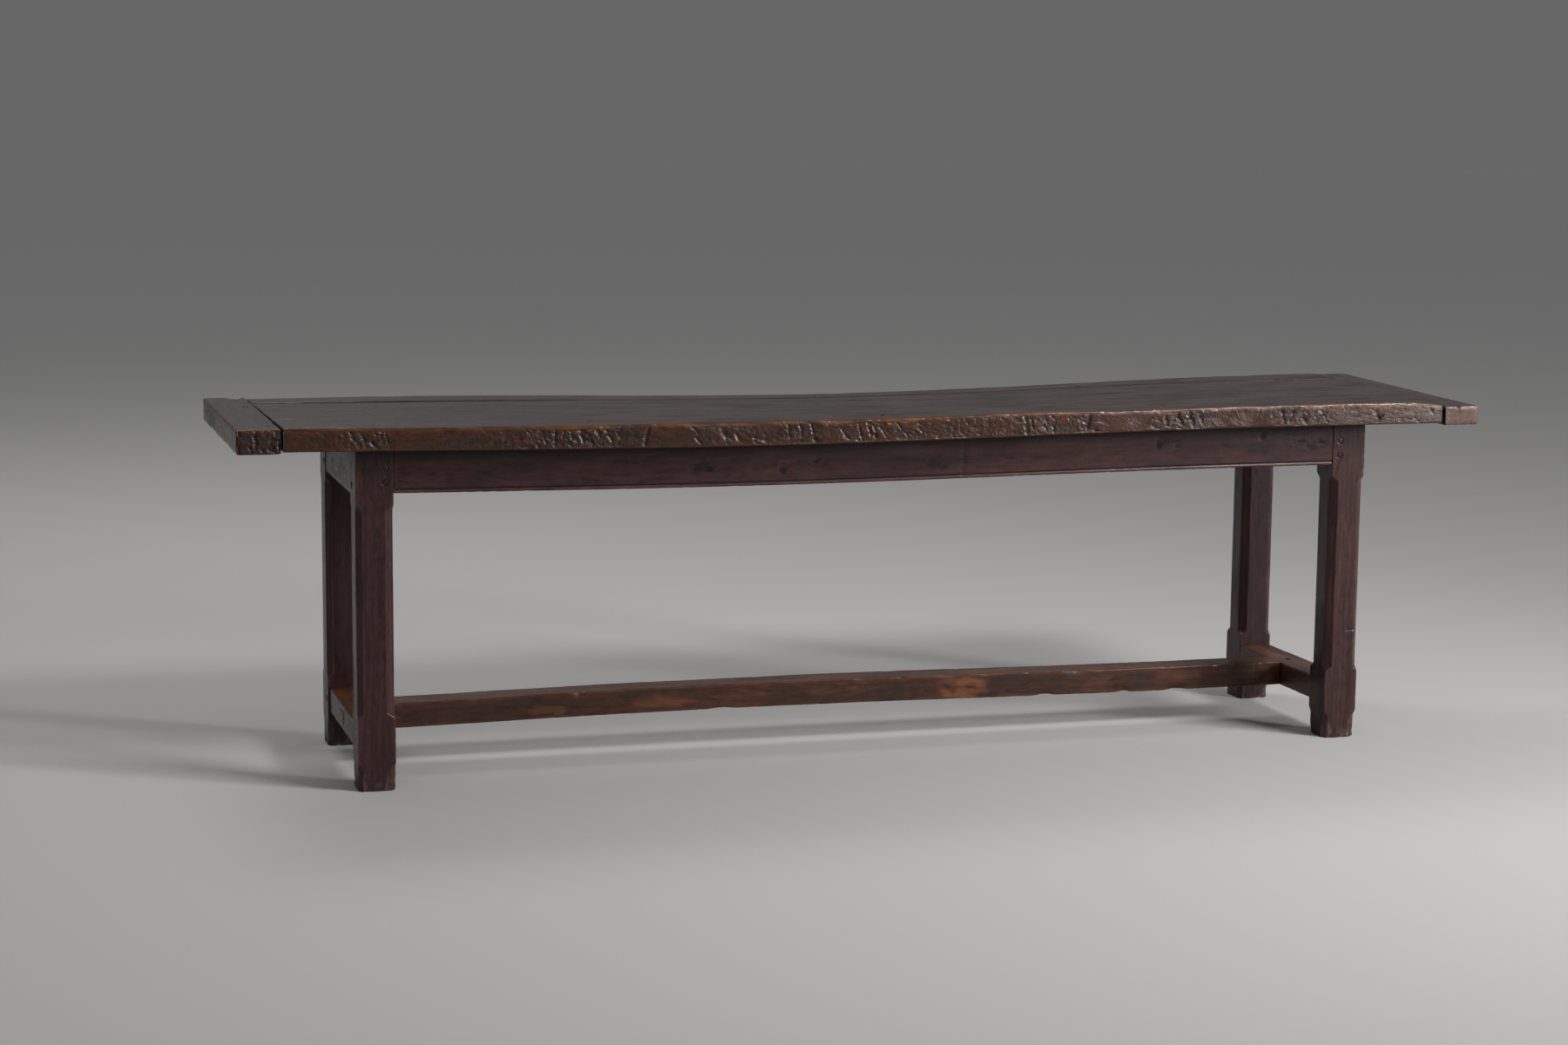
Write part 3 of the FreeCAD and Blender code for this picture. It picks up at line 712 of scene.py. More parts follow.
def front_edge_marks(timber, facing):
    """The hacked and burred front edge: flaked and pitted between its smooth stretches, and gouged."""
    x, y, height = timber.points.T
    rough = read(FRONT_ROUGHNESS, x) * facing
    relief = rough * read(FRONT_RELIEF, x)
    slant = x + 0.6 * height
    hewn, flaked, splintered = (facets(slant, height, size, timber.seed + 30 + number)
                                for number, size in enumerate(((19, 14), (9, 7), (5.6, 4.8))))
    pits = ease(0.26, 0.36, noise(np.column_stack([slant, y, height]), (9, 40, 8), timber.seed + 37))
    for shape, depth in ((hewn, 1.5), (flaked, 1.1), (splintered, 0.7), (pits, 1.6)):
        timber.press(relief * shape, depth)
    timber.press(rough * ease(0.55, 1.1, hewn), dirt=0.5)
    timber.press(rough * pits, dirt=0.9)
    hollows = 0.5 + 0.5 * timber.noise((70, 60, 30), 38)
    timber.press(facing * hollows * read(FRONT_RELIEF, x), 1.3)
    timber.press(facing * read(FRONT_BURR, x), burr=1.0)
    # Painted sheen: the face paled towards the right end
    timber.press(facing * read(FRONT_PAINTED_SHEEN, x), bleach=1.0)
    wander = 2.6 * timber.noise((8, 40, 7), 40)
    torn = np.clip(0.9 + 0.7 * timber.noise((12, 40, 9), 41), 0.3, 1.2)
    for x0, z0, x1, z1, width, depth in FRONT_GOUGES:
        line = (x0, z0 - underside_z(x0), x1, z1 - underside_z(x1))
        cut = stroke(x + wander, height, line, 0.55 * width) * facing * torn
        timber.press(cut, (SHALLOW_SHARE if x0 < SHALLOW_END else 1.0) * depth, dirt=0.95)
    timber.press(rough * (1.0 - ease(0.2, 0.6, hewn)) * (1.0 - pits), wear=0.3)


def plank_ring(y_front, y_back, peg_y, fine_front):
    """The long lines round a plank: close together on its show edge, which also has finer stations."""
    edges = (SHOW_EDGE, JOINT_EDGE) if fine_front else (JOINT_EDGE, SHOW_EDGE)
    fine_lines = grid_lines(0.0, PLANK_THICKNESS, 2.1)
    plain_lines = grid_lines(0.0, PLANK_THICKNESS, 12.0, (0.0, 1.2, 3.0))
    front, back = (fine_lines, plain_lines) if fine_front else (plain_lines, fine_lines)
    top = grid_lines(y_front, y_back, 6.4, edges[0], around([peg_y]), edges[1])
    bottom = grid_lines(y_front, y_back, 60.0)
    ring = [(y_front, z) for z in front[:-1]]
    ring += [(y, PLANK_THICKNESS) for y in top[:-1]]
    ring += [(y_back, z) for z in back[:0:-1]]
    ring += [(y, 0.0) for y in bottom[:0:-1]]
    show_y = y_front if fine_front else y_back
    return [(y, z, abs(y - show_y) < FINE_BAND) for y, z in ring]


def plank(node, y_front, y_back, seed, fine_front, knots):
    """One plank of the top, with its end tongues."""
    left = PLANK_LEFT - LEFT_GAP_CLOSED
    peg_y, show_y, show_sign = (-TOP_PEG_Y, y_front, -1) if fine_front else (TOP_PEG_Y, y_back, 1)
    stations = grid_lines(left, PLANK_RIGHT, PLANK_STATION, extra=around(TOP_PEG_X))
    grid = tube(stations, PLANK_FINE_STATION, plank_ring(y_front, y_back, peg_y, fine_front))
    timber = Timber(0, seed, ((left, PLANK_RIGHT), (y_front, y_back), (0.0, PLANK_THICKNESS)), grid)

    x, y, height = timber.points.T
    middle = (y_front + y_back) / 2
    show_edge = (y < middle) == fine_front
    upper_radius = read(FRONT_ARRIS_RADIUS, x)
    rounding = np.where(height > PLANK_THICKNESS / 2, upper_radius, UNDER_ARRIS_RADIUS)
    rounding = rounding * (1.0 + 0.45 * timber.noise((75, 400, 400), 20, 3))
    radius = np.full(timber.points.shape, INNER_EDGE_RADIUS)
    radius[show_edge, 1] = rounding[show_edge]
    radius[show_edge, 2] = 1.75 * rounding[show_edge]
    timber.round(np.clip(radius, 0.8, 14.0), ARRIS_BEVEL)
    timber.weather(hollow=0.8, dents=0.3, chips=0.9, rub=0.2)

    show_face = timber.facing(1, show_sign, 0.86, 0.97)
    if fine_front:
        front_edge_marks(timber, show_face)
    else:
        gnarled = show_face * (0.35 + 0.65 * ease(-0.1, 0.4, timber.noise((190, 200, 200), 31)))
        ridges = np.abs(timber.noise((22, 40, 16), 32, 2))
        timber.press(gnarled * np.clip(1.0 - 1.9 * ridges, 0.0, 1.0), 2.4, dirt=0.5)
        timber.press(gnarled, burr=0.6)
    reach = 8.0 + 4.0 * timber.noise((26, 300, 300), 33, 3)
    patchy = np.clip(0.72 + 0.7 * timber.noise((48, 90, 60), 35, 3), 0.15, 1.0)
    even_and_highlight = read(ARRIS_EVENNESS_AND_HIGHLIGHT, x)
    from_arris = np.hypot(y - show_y, height - PLANK_THICKNESS)
    arris = 1.0 - ease(0.45, 1.2, from_arris / np.maximum(reach, 3.0))
    timber.press(arris * (patchy + even_and_highlight * (1.0 - patchy)), wear=0.95)
    # Painted highlight: the arris paled where light catches it, most on the right
    timber.press(arris * even_and_highlight, bleach=0.75)

    face_up = timber.facing(2, 1, 0.35, 0.85)
    ranges = ((-1290, 1290), (y_front + 25, y_back - 12), (8, 46), (4.0, 7.5), (0.8, 2.4), (0.5, 1.0))
    count = int(MORE_TOP_DENTS * (y_back - y_front) / (2 * HALF_WIDTH))
    more = [[dent_draws.uniform(*span) for span in ranges] for _ in range(count)]
    for dent_x, dent_y, half_x, half_y, depth, grime_and_shade in (*TOP_DENTS, *more):
        timber.press(spot(x, y, (dent_x, dent_y), (half_x, half_y)) * face_up, depth, dirt=grime_and_shade)
    timber.press(ease(0.10, 0.60, timber.noise((150, 17, 60), 34)) * face_up, 1.0, dirt=0.45)
    joint_wear = read(JOINT_WEAR, x)
    at_joint = fade(y - JOINT_LINE, 2.0 + joint_wear)
    timber.press(at_joint, dirt=0.95)
    timber.press(fade(np.minimum(x - PLANK_LEFT, PLANK_RIGHT - x), 5.0), dirt=0.8)
    timber.peg_rims(x, y, face_up, [(peg_x, peg_y) for peg_x in TOP_PEG_X])

    worn = timber.carved()
    worn[:, 2] *= 1.0 - at_joint * joint_wear / PLANK_THICKNESS
    placed = plank_warp(worn)
    placed[:, 1] = np.clip(placed[:, 1], y_front, y_back)
    pith = (middle + 90.0, -170.0) if fine_front else (middle - 30.0, -110.0)
    knots = [(knot_x, y_front, z - underside_z(knot_x), size, rise) for knot_x, z, size, rise in knots]
    tongues = [end_tongue(*tongue, y_front, y_back, seed) for tongue in ((PLANK_LEFT, -1), (PLANK_RIGHT, 1))]
    add_piece(node, "top_oak", timber.settle(placed, pith, 137.0 * seed, knots), *tongues)


def end_tongue(plank_end, x_sign, y_front, y_back, seed):
    """The part of a plank's end tongue that shows in the gap before its breadboard end."""
    x_lines = np.array(sorted((plank_end - 4.0 * x_sign, plank_end + 4.8 * x_sign)))
    y_lines = grid_lines(y_front + END_TONGUE_INSET, y_back - END_TONGUE_INSET, 30.0)
    z_lines = np.array([UNDERSIDE + END_TONGUE_BOTTOM, UNDERSIDE + END_TONGUE_TOP])
    form = Form(*lattice(x_lines, y_lines, z_lines), 0)
    form.press(np.ones(len(form.points)), dirt=0.9)
    return form.settle(form.points, (0.0, 500.0), 137.0 * seed)


plank("top_front_plank", PLANK_FRONT, JOINT_LINE - JOINT_GAP / 2, seed=11, fine_front=True, knots=FRONT_KNOTS)
plank("top_back_plank", JOINT_LINE + JOINT_GAP / 2, PLANK_BACK, seed=23, fine_front=False, knots=())


# Breadboard ends

# Radius of the outer arrises, then the depth of the checks and of the ridges in the end grain
BREADBOARD_WEAR = {"left": (3.6, 3.0, 1.5), "right": (8.0, 0.0, 0.0)}

# A notch in the upper face of each: its place, half sizes and depth
BREADBOARD_NOTCH = {
    "left": ((-1335.0, 326.0), (13.0, 12.0), 9.0),
    "right": ((1354.0, -337.0), (5.0, 7.0), 4.0),
}
BREADBOARD_BEVEL = 1.7
# How pale each front end grain is made: pale sawn wood with painted sheen, and a painted highlight on its
# arris
SAWN_END_AND_SHEEN = {"left": 0.0, "right": 0.85}
SAW_LINE_STEP = 7.5


def breadboard(end, seed):
    """A breadboard end with a checked, grimy front end deepened by painted shade, or a freshly sawn one paled
    by painted sheen, and a worn outer face.
    """
    inner, outer, thickness, front_drop, back_drop = BREADBOARDS[end]
    corner, check_depth, ridge_depth = BREADBOARD_WEAR[end]
    peg_x = inner + math.copysign(BREADBOARD_PEG_SETBACK, outer)
    timber = squared(1, seed, ((inner, outer), 2.4, EDGE_STEPS, around([peg_x])),
                     ((-HALF_WIDTH, HALF_WIDTH), 5.0, EDGE_STEPS, around(BREADBOARD_PEG_Y)),
                     ((0.0, thickness), 2.3))

    x, y, height = timber.points.T
    outer_side = np.abs(x - outer) < np.abs(x - inner)
    scallop = timber.noise((40, 60, 40), 20, 3)
    radius = np.column_stack([
        np.where(outer_side, corner * (1.0 + 0.5 * scallop), 1.4),
        4.4 * (1.0 + 0.4 * scallop),
        np.where(outer_side, max(corner, 6.0), 6.0) * (1.0 + 0.4 * scallop),
    ])
    timber.round(np.clip(radius, 0.8, 11.0), BREADBOARD_BEVEL)
    timber.weather(hollow=1.0, dents=0.4, chips=2.0, rub=0.5)

    end_grain = ease(0.4, 0.9, np.abs(timber.normals[:, 1]))
    sawn_and_sheen = end_grain * SAWN_END_AND_SHEEN[end]
    checks = ease(0.10, 0.42, timber.noise((7, 60, 13), 21))
    timber.press(checks * end_grain, check_depth, dirt=0.3 * check_depth)
    ridges = np.clip(1.0 - 2.0 * np.abs(timber.noise((14, 60, 11), 22, 2)), 0.0, 1.0)
    timber.press(ridges * end_grain, ridge_depth, dirt=0.3 * ridge_depth)
    if end == "left":
        # Painted shade: the left end grain darkened beyond its grime, as it lies in shadow
        timber.press(end_grain, dirt=0.55)
    else:
        wave = (x - 0.8 * height) * math.tau / SAW_LINE_STEP + 1.2 * timber.noise((40, 60, 40), 24)
        timber.press((0.5 + 0.5 * np.sin(wave)) * end_grain, 0.5, dirt=0.4)
    # Pale sawn end grain with painted sheen on the right end
    timber.press(sawn_and_sheen, bleach=1.0, wear=0.6)
    face_up = timber.facing(2, 1, 0.35, 0.85)
    timber.press(ease(0.36, 0.62, timber.noise((9, 90, 60), 23)) * face_up, 0.8, dirt=0.4)
    arris = fade(np.hypot(y + HALF_WIDTH, height - thickness), 6.5)
    timber.press(arris, wear=0.9)
    # Painted highlight: the front arris paled on the sawn end
    timber.press(arris * SAWN_END_AND_SHEEN[end], bleach=0.9)
    timber.press(fade(x - inner, 4.0), dirt=0.8)
    timber.peg_rims(x, y, face_up, [(peg_x, peg_y) for peg_y in BREADBOARD_PEG_Y])
    notch_place, notch_size, notch_depth = BREADBOARD_NOTCH[end]
    notch = spot(x, y, notch_place, notch_size)
    timber.press(notch * ease(0.4 * thickness, thickness, height), dirt=0.9)

    placed = timber.carved()
    placed[:, 2] *= 1.0 - notch * notch_depth / thickness
    placed[:, 2] += breadboard_top_z(placed[:, 1], front_drop, back_drop) - thickness
    pith = (-60.0, (inner + outer) / 2 - math.copysign(40.0, outer))
    add_piece(end + "_breadboard_end", "top_oak", timber.settle(placed, pith, 90.0 * seed))


breadboard("left", seed=37)
breadboard("right", seed=41)


# Legs

# Chipped places on each foot's outer face: x towards the table's end, z, half width and half height
FOOT_PATCHES = ((29.0, 12.0, 9.0, 26.0), (-24.0, 8.0, 7.0, 22.0))
CHAMFER_WOBBLE = 0.7

# On the front right leg, a nick (x and z of both ends, then its width) and where a crack below a peg runs
LEG_NICK = (13.0, 252.0, 31.0, 253.0, 1.9)
NICK_STEPS = (-6.0, -3.6, -1.8, 0.0, 1.8, 3.6, 6.0)
CRACK_TOP, CRACK_BOTTOM, CRACK_LEAN = 652.0, 612.0, 12.0
LEG_EDGES = (0.0, 1.0, 2.2, 4.0, 6.5, 9.0, 10.5, 12.0, 13.5, 15.5, 17.0, 18.6, 22.0)


def stopped(z, foot_width, shaft_width):
    """The width of a leg's chamfer at each height: the foot, the block, the shaft and the upper block."""
    foot = foot_width * (1.0 - ease(FOOT_STOP - CHAMFER_STOP, FOOT_STOP, z))
    rise = ease(LOW_STOP + 2.0, LOW_STOP + CHAMFER_STOP, z)
    fall = 1.0 - ease(HIGH_STOP - CHAMFER_STOP, HIGH_STOP, z)
    return np.maximum(foot, shaft_width * np.minimum(rise, fall))


def leg(row, end, y_sign, x_sign, seed):
    """A square leg with stop-chamfered corners and a chipped foot."""
    half = LEG_SIZE / 2
    centre = np.array([x_sign * (FRAME_X - half), y_sign * (FRAME_Y - half), 0.0])
    rail_peg = x_sign * RAIL_PEG_X - centre[0]
    end_peg = y_sign * END_RAIL_PEG_Y - centre[1]
    low_peg = y_sign * STRETCHER_PEG_Y - centre[1]
    starts = (FOOT_STOP - CHAMFER_STOP, LOW_STOP, HIGH_STOP - CHAMFER_STOP)
    heights = [start + step for start in starts for step in range(-2, 20, 2)]
    heights += [LEG_NICK[1] + step for step in NICK_STEPS]
    heights += around((*RAIL_PEG_Z, END_RAIL_PEG_Z[1], STRETCHER_PEG_Z))
    timber = squared(2, seed, ((-half, half), 5.0, LEG_EDGES, around([rail_peg])),
                     ((-half, half), 5.0, LEG_EDGES, around([end_peg])),
                     ((0.0, UNDERSIDE), 6.5, EDGE_STEPS, heights))
    x, y, z = timber.points.T
    timber.round(np.clip(1.4 * (1.0 + 0.6 * timber.noise((60, 60, 70), 20, 3)), 0.7, 4.0)[:, None])
    timber.weather(hollow=0.35, dents=0.2, chips=1.1, rub=0.6)

    # Chamfered corners, hand cut so that their width wobbles
    shaft = np.where(np.sign(x) != x_sign, INNER_CHAMFER, OUTER_CHAMFER)
    width = stopped(z, FOOT_CHAMFER, shaft) + CHAMFER_WOBBLE * timber.noise((200, 200, 130), 21)
    plan = timber.body[:, :2]
    over = np.abs(plan).sum(axis=1) - (LEG_SIZE - np.maximum(width, 0.0))
    moved = np.where(over < -6.0, 0.0, 0.5 * (over + np.sqrt(over ** 2 + 1.2)))
    plan -= np.sign(plan) * moved[:, None] / 2
    cut = ease(-1.0, 1.5, over)[:, None]
    diagonal = np.column_stack([np.sign(x), np.sign(y), np.zeros(len(x))]) / math.sqrt(2)
    normals = timber.normals * (1.0 - cut) + diagonal * cut
    timber.normals = normals / np.linalg.norm(normals, axis=1, keepdims=True)
    arris = fade(over, 2.2) * ease(1.0, 4.0, width)
    timber.press(arris * (0.7 + 0.4 * timber.noise((90, 90, 60), 22)), wear=0.75)

    # A bruised foot with pale chips, and painted shade under the top
    low_edge = fade(z, 16.0) * ease(0.05, 0.3, timber.noise((15, 15, 20), 23))
    timber.press(low_edge, 2.6, bleach=0.95)
    corner = fade(over, 7.0) * fade(z - 14.0, 22.0)
    timber.press(corner * ease(-0.05, 0.25, timber.noise((14, 14, 26), 24)), 1.4, bleach=0.85)
    timber.press(fade(z, 30.0), dirt=0.4)
    timber.press(ease(UNDERSIDE - 70.0, UNDERSIDE, z), dirt=0.6)

    # Peg holes, the lower rail peg sunk in its own, and marks on the outer face
    face_y = timber.facing(1, y_sign, 0.6)
    face_x = timber.facing(0, x_sign, 0.6)
    timber.peg_rims(x, z, face_y, [(rail_peg, height) for height in RAIL_PEG_Z])
    timber.peg_rims(y, z, face_x, [(end_peg, height) for height in END_RAIL_PEG_Z])
    timber.peg_rims(y, z, face_x, [(low_peg, STRETCHER_PEG_Z)])
    ragged = 1.2 + 1.6 * timber.noise((9, 9, 12), 25)
    for patch in FOOT_PATCHES:
        chipped = spot(x * x_sign, z, patch[:2], patch[2:]) * face_y * ragged
        timber.press(ease(0.35, 0.65, chipped), 1.0, wear=1.0, bleach=0.3)
    from_peg = np.hypot(x - rail_peg, z - RAIL_PEG_Z[1])
    timber.press(ease(PEG_RADIUS + 0.8, PEG_RADIUS - 1.2, from_peg) * face_y, 2.6, dirt=0.8)
    if (row, end) == ("front", "right"):
        crack = (rail_peg, CRACK_TOP, rail_peg - CRACK_LEAN, CRACK_BOTTOM)
        timber.press(stroke(x, z, crack, 1.0) * face_y, 0.9, dirt=0.95)
        timber.press(stroke(x, z, LEG_NICK[:4], LEG_NICK[4]) * face_y, 1.8, dirt=0.9)

    placed = timber.carved()
    placed[:, 2] = np.maximum(placed[:, 2], 0.0)
    drop = UNDERSIDE - underside_z(placed[:, 0] + centre[0])
    placed[:, 2] -= drop * ease(RAIL_BOTTOM, UNDERSIDE, placed[:, 2])
    form = timber.settle(placed + centre, (35.0 * x_sign, 60.0 * y_sign), 210.0 * seed)
    add_piece(row + "_" + end + "_leg", "frame_oak", form)


for number, ((row, y_sign), (end, x_sign)) in enumerate(itertools.product(ROWS, ENDS)):
    leg(row, end, y_sign, x_sign, seed=53 + 6 * number)


# Rails

# Grid lines across the bead, up from a rail's lower edge
BEAD_LINES = (0.0, 0.5, 1.2, 2.2, 3.5, 4.8, 5.8, 6.5, 7.0, 7.3, 8.2, 9.1, 9.5, 10.6, 13.0)

# Knots and stains on the front rail's outer face: x, z, half length, half height, depth and grime
RAIL_MARKS = (
    (-412, 675, 24, 14, 0.5, 0.9), (-395, 668, 11, 9, 0.8, 1.0), (-230, 660, 10, 8, 0.9, 1.0),
    (-152, 681, 11, 8, 0.5, 0.9), (120, 667, 20, 13, 0.5, 0.9), (134, 660, 9, 12, 0.8, 0.9),
    (648, 694, 9, 15, 0.5, 1.0), (690, 696, 8, 13, 0.5, 0.95), (668, 700, 22, 6, 0.2, 0.8),
    (898, 708, 9, 9, 1.4, 1.0), (1000, 692, 24, 4, 0.4, 0.9), (1044, 690, 16, 6, 0.6, 0.95),
    (1020, 678, 10, 10, 0.3, 0.7), (-800, 690, 60, 16, 0.2, 0.5), (-560, 695, 70, 14, 0.2, 0.5),
)

# A burred place on it: x, z and half sizes; then a line scored across it
RAIL_BURR = (1010.0, 690.0, 62.0, 24.0)
RAIL_LINE_X = 184.0


def bead(height):
    """How far a rail's outer face is cut back near its lower edge: a half-round bead and its quirk."""
    half = BEAD_HEIGHT / 2
    lift = np.clip((height - half) / half, -1.0, 1.0)
    rounding = 0.75 * half * (1.0 - np.sqrt(1.0 - lift ** 2))
    half_quirk = QUIRK_WIDTH / 2
    from_quirk = np.abs(height - BEAD_HEIGHT - half_quirk)
    quirk = QUIRK_DEPTH * (1.0 - ease(half_quirk - 0.4, half_quirk + 0.4, from_quirk))
    return np.where(height < BEAD_HEIGHT, rounding, quirk)


def hung(placed, bottom, depth):
    """Stretches a rail from its lower edge to the sagged underside of the top."""
    scale = (underside_z(placed[:, 0]) - bottom) / depth
    placed[:, 2] = bottom + placed[:, 2] * scale
    return placed


def long_rail(row, y_sign, seed):
    """A long apron rail with a scratched bead, sagged with the top."""
    depth = UNDERSIDE - RAIL_BOTTOM
    outer = y_sign * (FRAME_Y - RAIL_SETBACK)
    inner = outer - y_sign * RAIL_THICKNESS
    timber = squared(0, seed, ((-SHOULDER_X, SHOULDER_X), 4.4), ((inner, outer), 6.0),
                     ((0.0, depth), 3.6, BEAD_LINES))
    x, _, height = timber.points.T
    timber.round(np.clip(1.5 * (1.0 + 0.6 * timber.noise((60, 60, 60), 20)), 0.7, 4.0)[:, None])
    timber.weather(hollow=0.6, dents=0.2, chips=0.9, rub=0.4, shoulder=2.0)
    facing = timber.facing(1, y_sign)
    timber.press(bead(height) * facing * (0.8 + 0.2 * timber.noise((120, 100, 100), 21)), 1.0)
    timber.press(fade(height - BEAD_HEIGHT - QUIRK_WIDTH / 2, 1.7) * facing, 0.8, dirt=1.0)
    timber.press(fade(height - BEAD_HEIGHT / 2, 2.6) * facing, wear=0.85)
    # Painted shade: darker towards the top, under the top's overhang
    timber.press(ease(0.45 * depth, depth, height + 12.0 * timber.noise((120, 60, 60), 22)), dirt=0.7)
    knots = []
    if row == "front":
        z = rail_bottom_z(x) + height
        ragged = 1.0 + 1.1 * timber.noise((16, 40, 9), 23, 3)
        for mark in RAIL_MARKS:
            timber.press(ragged_spot(x, z, mark, ragged, 0.15) * facing, mark[4], dirt=mark[5])
            knots.append((mark[0], outer, mark[1] - RAIL_BOTTOM, 1.3 * mark[2], 16.0))
        timber.press(spot(x, z, RAIL_BURR[:2], RAIL_BURR[2:]) * facing, burr=0.8)
        timber.press(fade(x - RAIL_LINE_X, 3.2) * facing, 0.7, dirt=0.5)

    worn = timber.carved()
    placed = hung(worn, rail_bottom_z(worn[:, 0]), depth)
    form = timber.settle(placed, (outer + 130.0 * y_sign, 30.0), 160.0 * seed, knots)
    add_piece(row + "_apron_rail", "frame_oak", form)


def end_rail(end, x_sign, seed):
    """An end rail between the front and back legs."""
    depth = UNDERSIDE - END_RAIL_BOTTOM
    outer = x_sign * (FRAME_X - RAIL_SETBACK)
    inner = outer - x_sign * RAIL_THICKNESS
    timber = squared(1, seed, ((inner, outer), 6.0), ((-SHOULDER_Y, SHOULDER_Y), 5.0), ((0.0, depth), 4.6))
    height = timber.points[:, 2]
    timber.round(np.clip(1.8 * (1.0 + 0.6 * timber.noise((60, 60, 60), 20)), 0.7, 4.0)[:, None])
    timber.weather(hollow=0.7, dents=0.3, chips=1.1, rub=0.5, shoulder=2.0)
    # Painted shade: darker towards the top, under the top's overhang
    timber.press(ease(0.5 * depth, depth, height + 12.0 * timber.noise((60, 120, 60), 22)), dirt=0.65)
    placed = hung(timber.carved(), END_RAIL_BOTTOM, depth)
    form = timber.settle(placed, (40.0, outer + 150.0 * x_sign), 120.0 * seed)
    add_piece(end + "_end_rail", "frame_oak", form)


for number, (row, y_sign) in enumerate(ROWS):
    long_rail(row, y_sign, seed=83 + 6 * number)
for number, (end, x_sign) in enumerate(ENDS):
    end_rail(end, x_sign, seed=97 + 6 * number)


# Stretchers

# Chips in the centre stretcher's arrises: x, top or bottom, half length and depth
STRETCHER_CHIPS = (
    (-628, 1, 9, 5.0), (478, 0, 16, 5.0), (674, 0, 13, 4.5), (807, 0, 20, 5.0), (-300, 0, 26, 3.0),
    (40, 1, 20, 2.5), (250, 1, 30, 3.0), (560, 1, 24, 3.0), (-860, 1, 18, 3.0), (905, 1, 20, 3.5),
)

# Stains and rubbed places on its sides: x, z, half length, half height and strength
STRETCHER_STAINS = (
    (112, 106, 62, 24, 0.60), (352, 112, 20, 26, 0.45), (455, 106, 36, 20, 0.40), (716, 108, 40, 24, 0.40),
    (980, 102, 60, 20, 0.35), (880, 98, 40, 10, 0.30), (-420, 98, 60, 10, 0.35), (-640, 108, 20, 26, 0.45),
    (-820, 112, 60, 14, 0.35), (-980, 100, 60, 20, 0.40), (-150, 100, 50, 12, 0.35),
)
STRETCHER_RUBS = (
    (276, 108, 62, 30, 0.85), (600, 108, 66, 18, 0.28), (810, 116, 60, 14, 0.28), (-30, 118, 60, 12, 0.32),
    (-250, 112, 70, 16, 0.30), (-440, 112, 64, 18, 0.42), (-700, 104, 50, 14, 0.30),
)
STRETCHER_EDGES = (0.0, 0.9, 2.0, 3.6, 5.6, 8.2, 11.5)

# A seam near its right end, with a hole in it
SEAM_X, HOLE_Z, HOLE_SIZE = 1010.0, 97.0, 4.0

# The ends of its through tenons, and the grid lines round them
TENON_END_PROUD = 0.9
TENON_END_DEPTH = 9.0
TENON_EDGES = (0.0, 0.8, 1.8)
TENON_RIM_Y = [sign * CENTRE_TENON_HALF_WIDTH + step for sign in (-1, 1) for step in (-1.5, 0.0, 1.2, 2.4)]
TENON_RIM_Z = (95.0, 96.3, 97.5, 117.5, 118.7, 120.0)


def centre_stretcher(seed):
    """The bowed centre stretcher with wavy worn arrises, and its tenons' ends in the end stretchers."""
    half = CENTRE_STRETCHER_HALF_WIDTH
    timber = squared(0, seed, ((-SHOULDER_X, SHOULDER_X), 5.0, EDGE_STEPS, around([SEAM_X])),
                     ((-half, half), 4.6, STRETCHER_EDGES),
                     ((0.0, CENTRE_STRETCHER_HEIGHT), 4.2, STRETCHER_EDGES))
    x, y, height = timber.points.T
    z = stretcher_bottom_z(x) + height
    scallop = 1.0 + 0.6 * timber.noise((120, 70, 70), 20, 3)
    radius = np.column_stack([np.full(len(x), 2.0), 3.8 * scallop, 3.4 * scallop])
    timber.round(np.clip(radius, 1.2, 12.0))
    timber.weather(hollow=1.0, dents=0.4, chips=1.6, rub=0.7, shoulder=2.5)
    for chip_x, top, half_length, cut in STRETCHER_CHIPS:
        level = CENTRE_STRETCHER_HEIGHT * top
        chip = spot(x, height, (chip_x, level), (half_length, 9.0)) * fade(y + half, 22.0)
        timber.press(chip, cut, dirt=0.3)
    sides = ease(0.4, 0.9, np.abs(timber.normals[:, 1]))
    ragged = 1.0 + 1.1 * timber.noise((30, 40, 14), 21, 3)
    for stain in STRETCHER_STAINS:
        timber.press(ragged_spot(x, z, stain, ragged, 0.22) * sides, dirt=stain[4])
    ragged = 1.0 + 1.1 * timber.noise((44, 40, 16), 22, 3)
    for rub in STRETCHER_RUBS:
        timber.press(ragged_spot(x, z, rub, ragged, 0.25) * sides, wear=rub[4])
    worn_top = timber.facing(2) * (0.55 + 0.5 * timber.noise((260, 50, 50), 23))
    timber.press(np.clip(worn_top, 0.0, 1.0), 1.2, wear=0.6)
    timber.press(fade(x - SEAM_X, 1.6) * sides, 1.0, dirt=0.8)
    timber.press(spot(x, z, (SEAM_X, HOLE_Z), (HOLE_SIZE, HOLE_SIZE)) * sides, 3.0, dirt=1.0)

    placed = timber.carved()
    placed[:, 2] += stretcher_bottom_z(placed[:, 0])
    tenons = [tenon_end(x_sign, seed) for _, x_sign in ENDS]
    add_piece("centre_stretcher", "stretcher_oak", timber.settle(placed, (70.0, -60.0), 90.0 * seed), *tenons)


def tenon_end(x_sign, seed):
    """The end of the centre stretcher's through tenon, just proud of the end stretcher's outer face."""
    x_span = [x_sign * (END_STRETCHER_OUTER + step) for step in (-TENON_END_DEPTH, TENON_END_PROUD)]
    y_span = (-CENTRE_TENON_HALF_WIDTH, CENTRE_TENON_HALF_WIDTH)
    timber = squared(0, seed + 40, *((span, 2.6, TENON_EDGES) for span in (x_span, y_span, CENTRE_TENON_Z)))
    timber.round(1.2)
    timber.weather(hollow=0.3, dents=0.6, chips=0.5)
    return timber.settle(timber.carved(), (10.0, 80.0), 50.0 * seed)


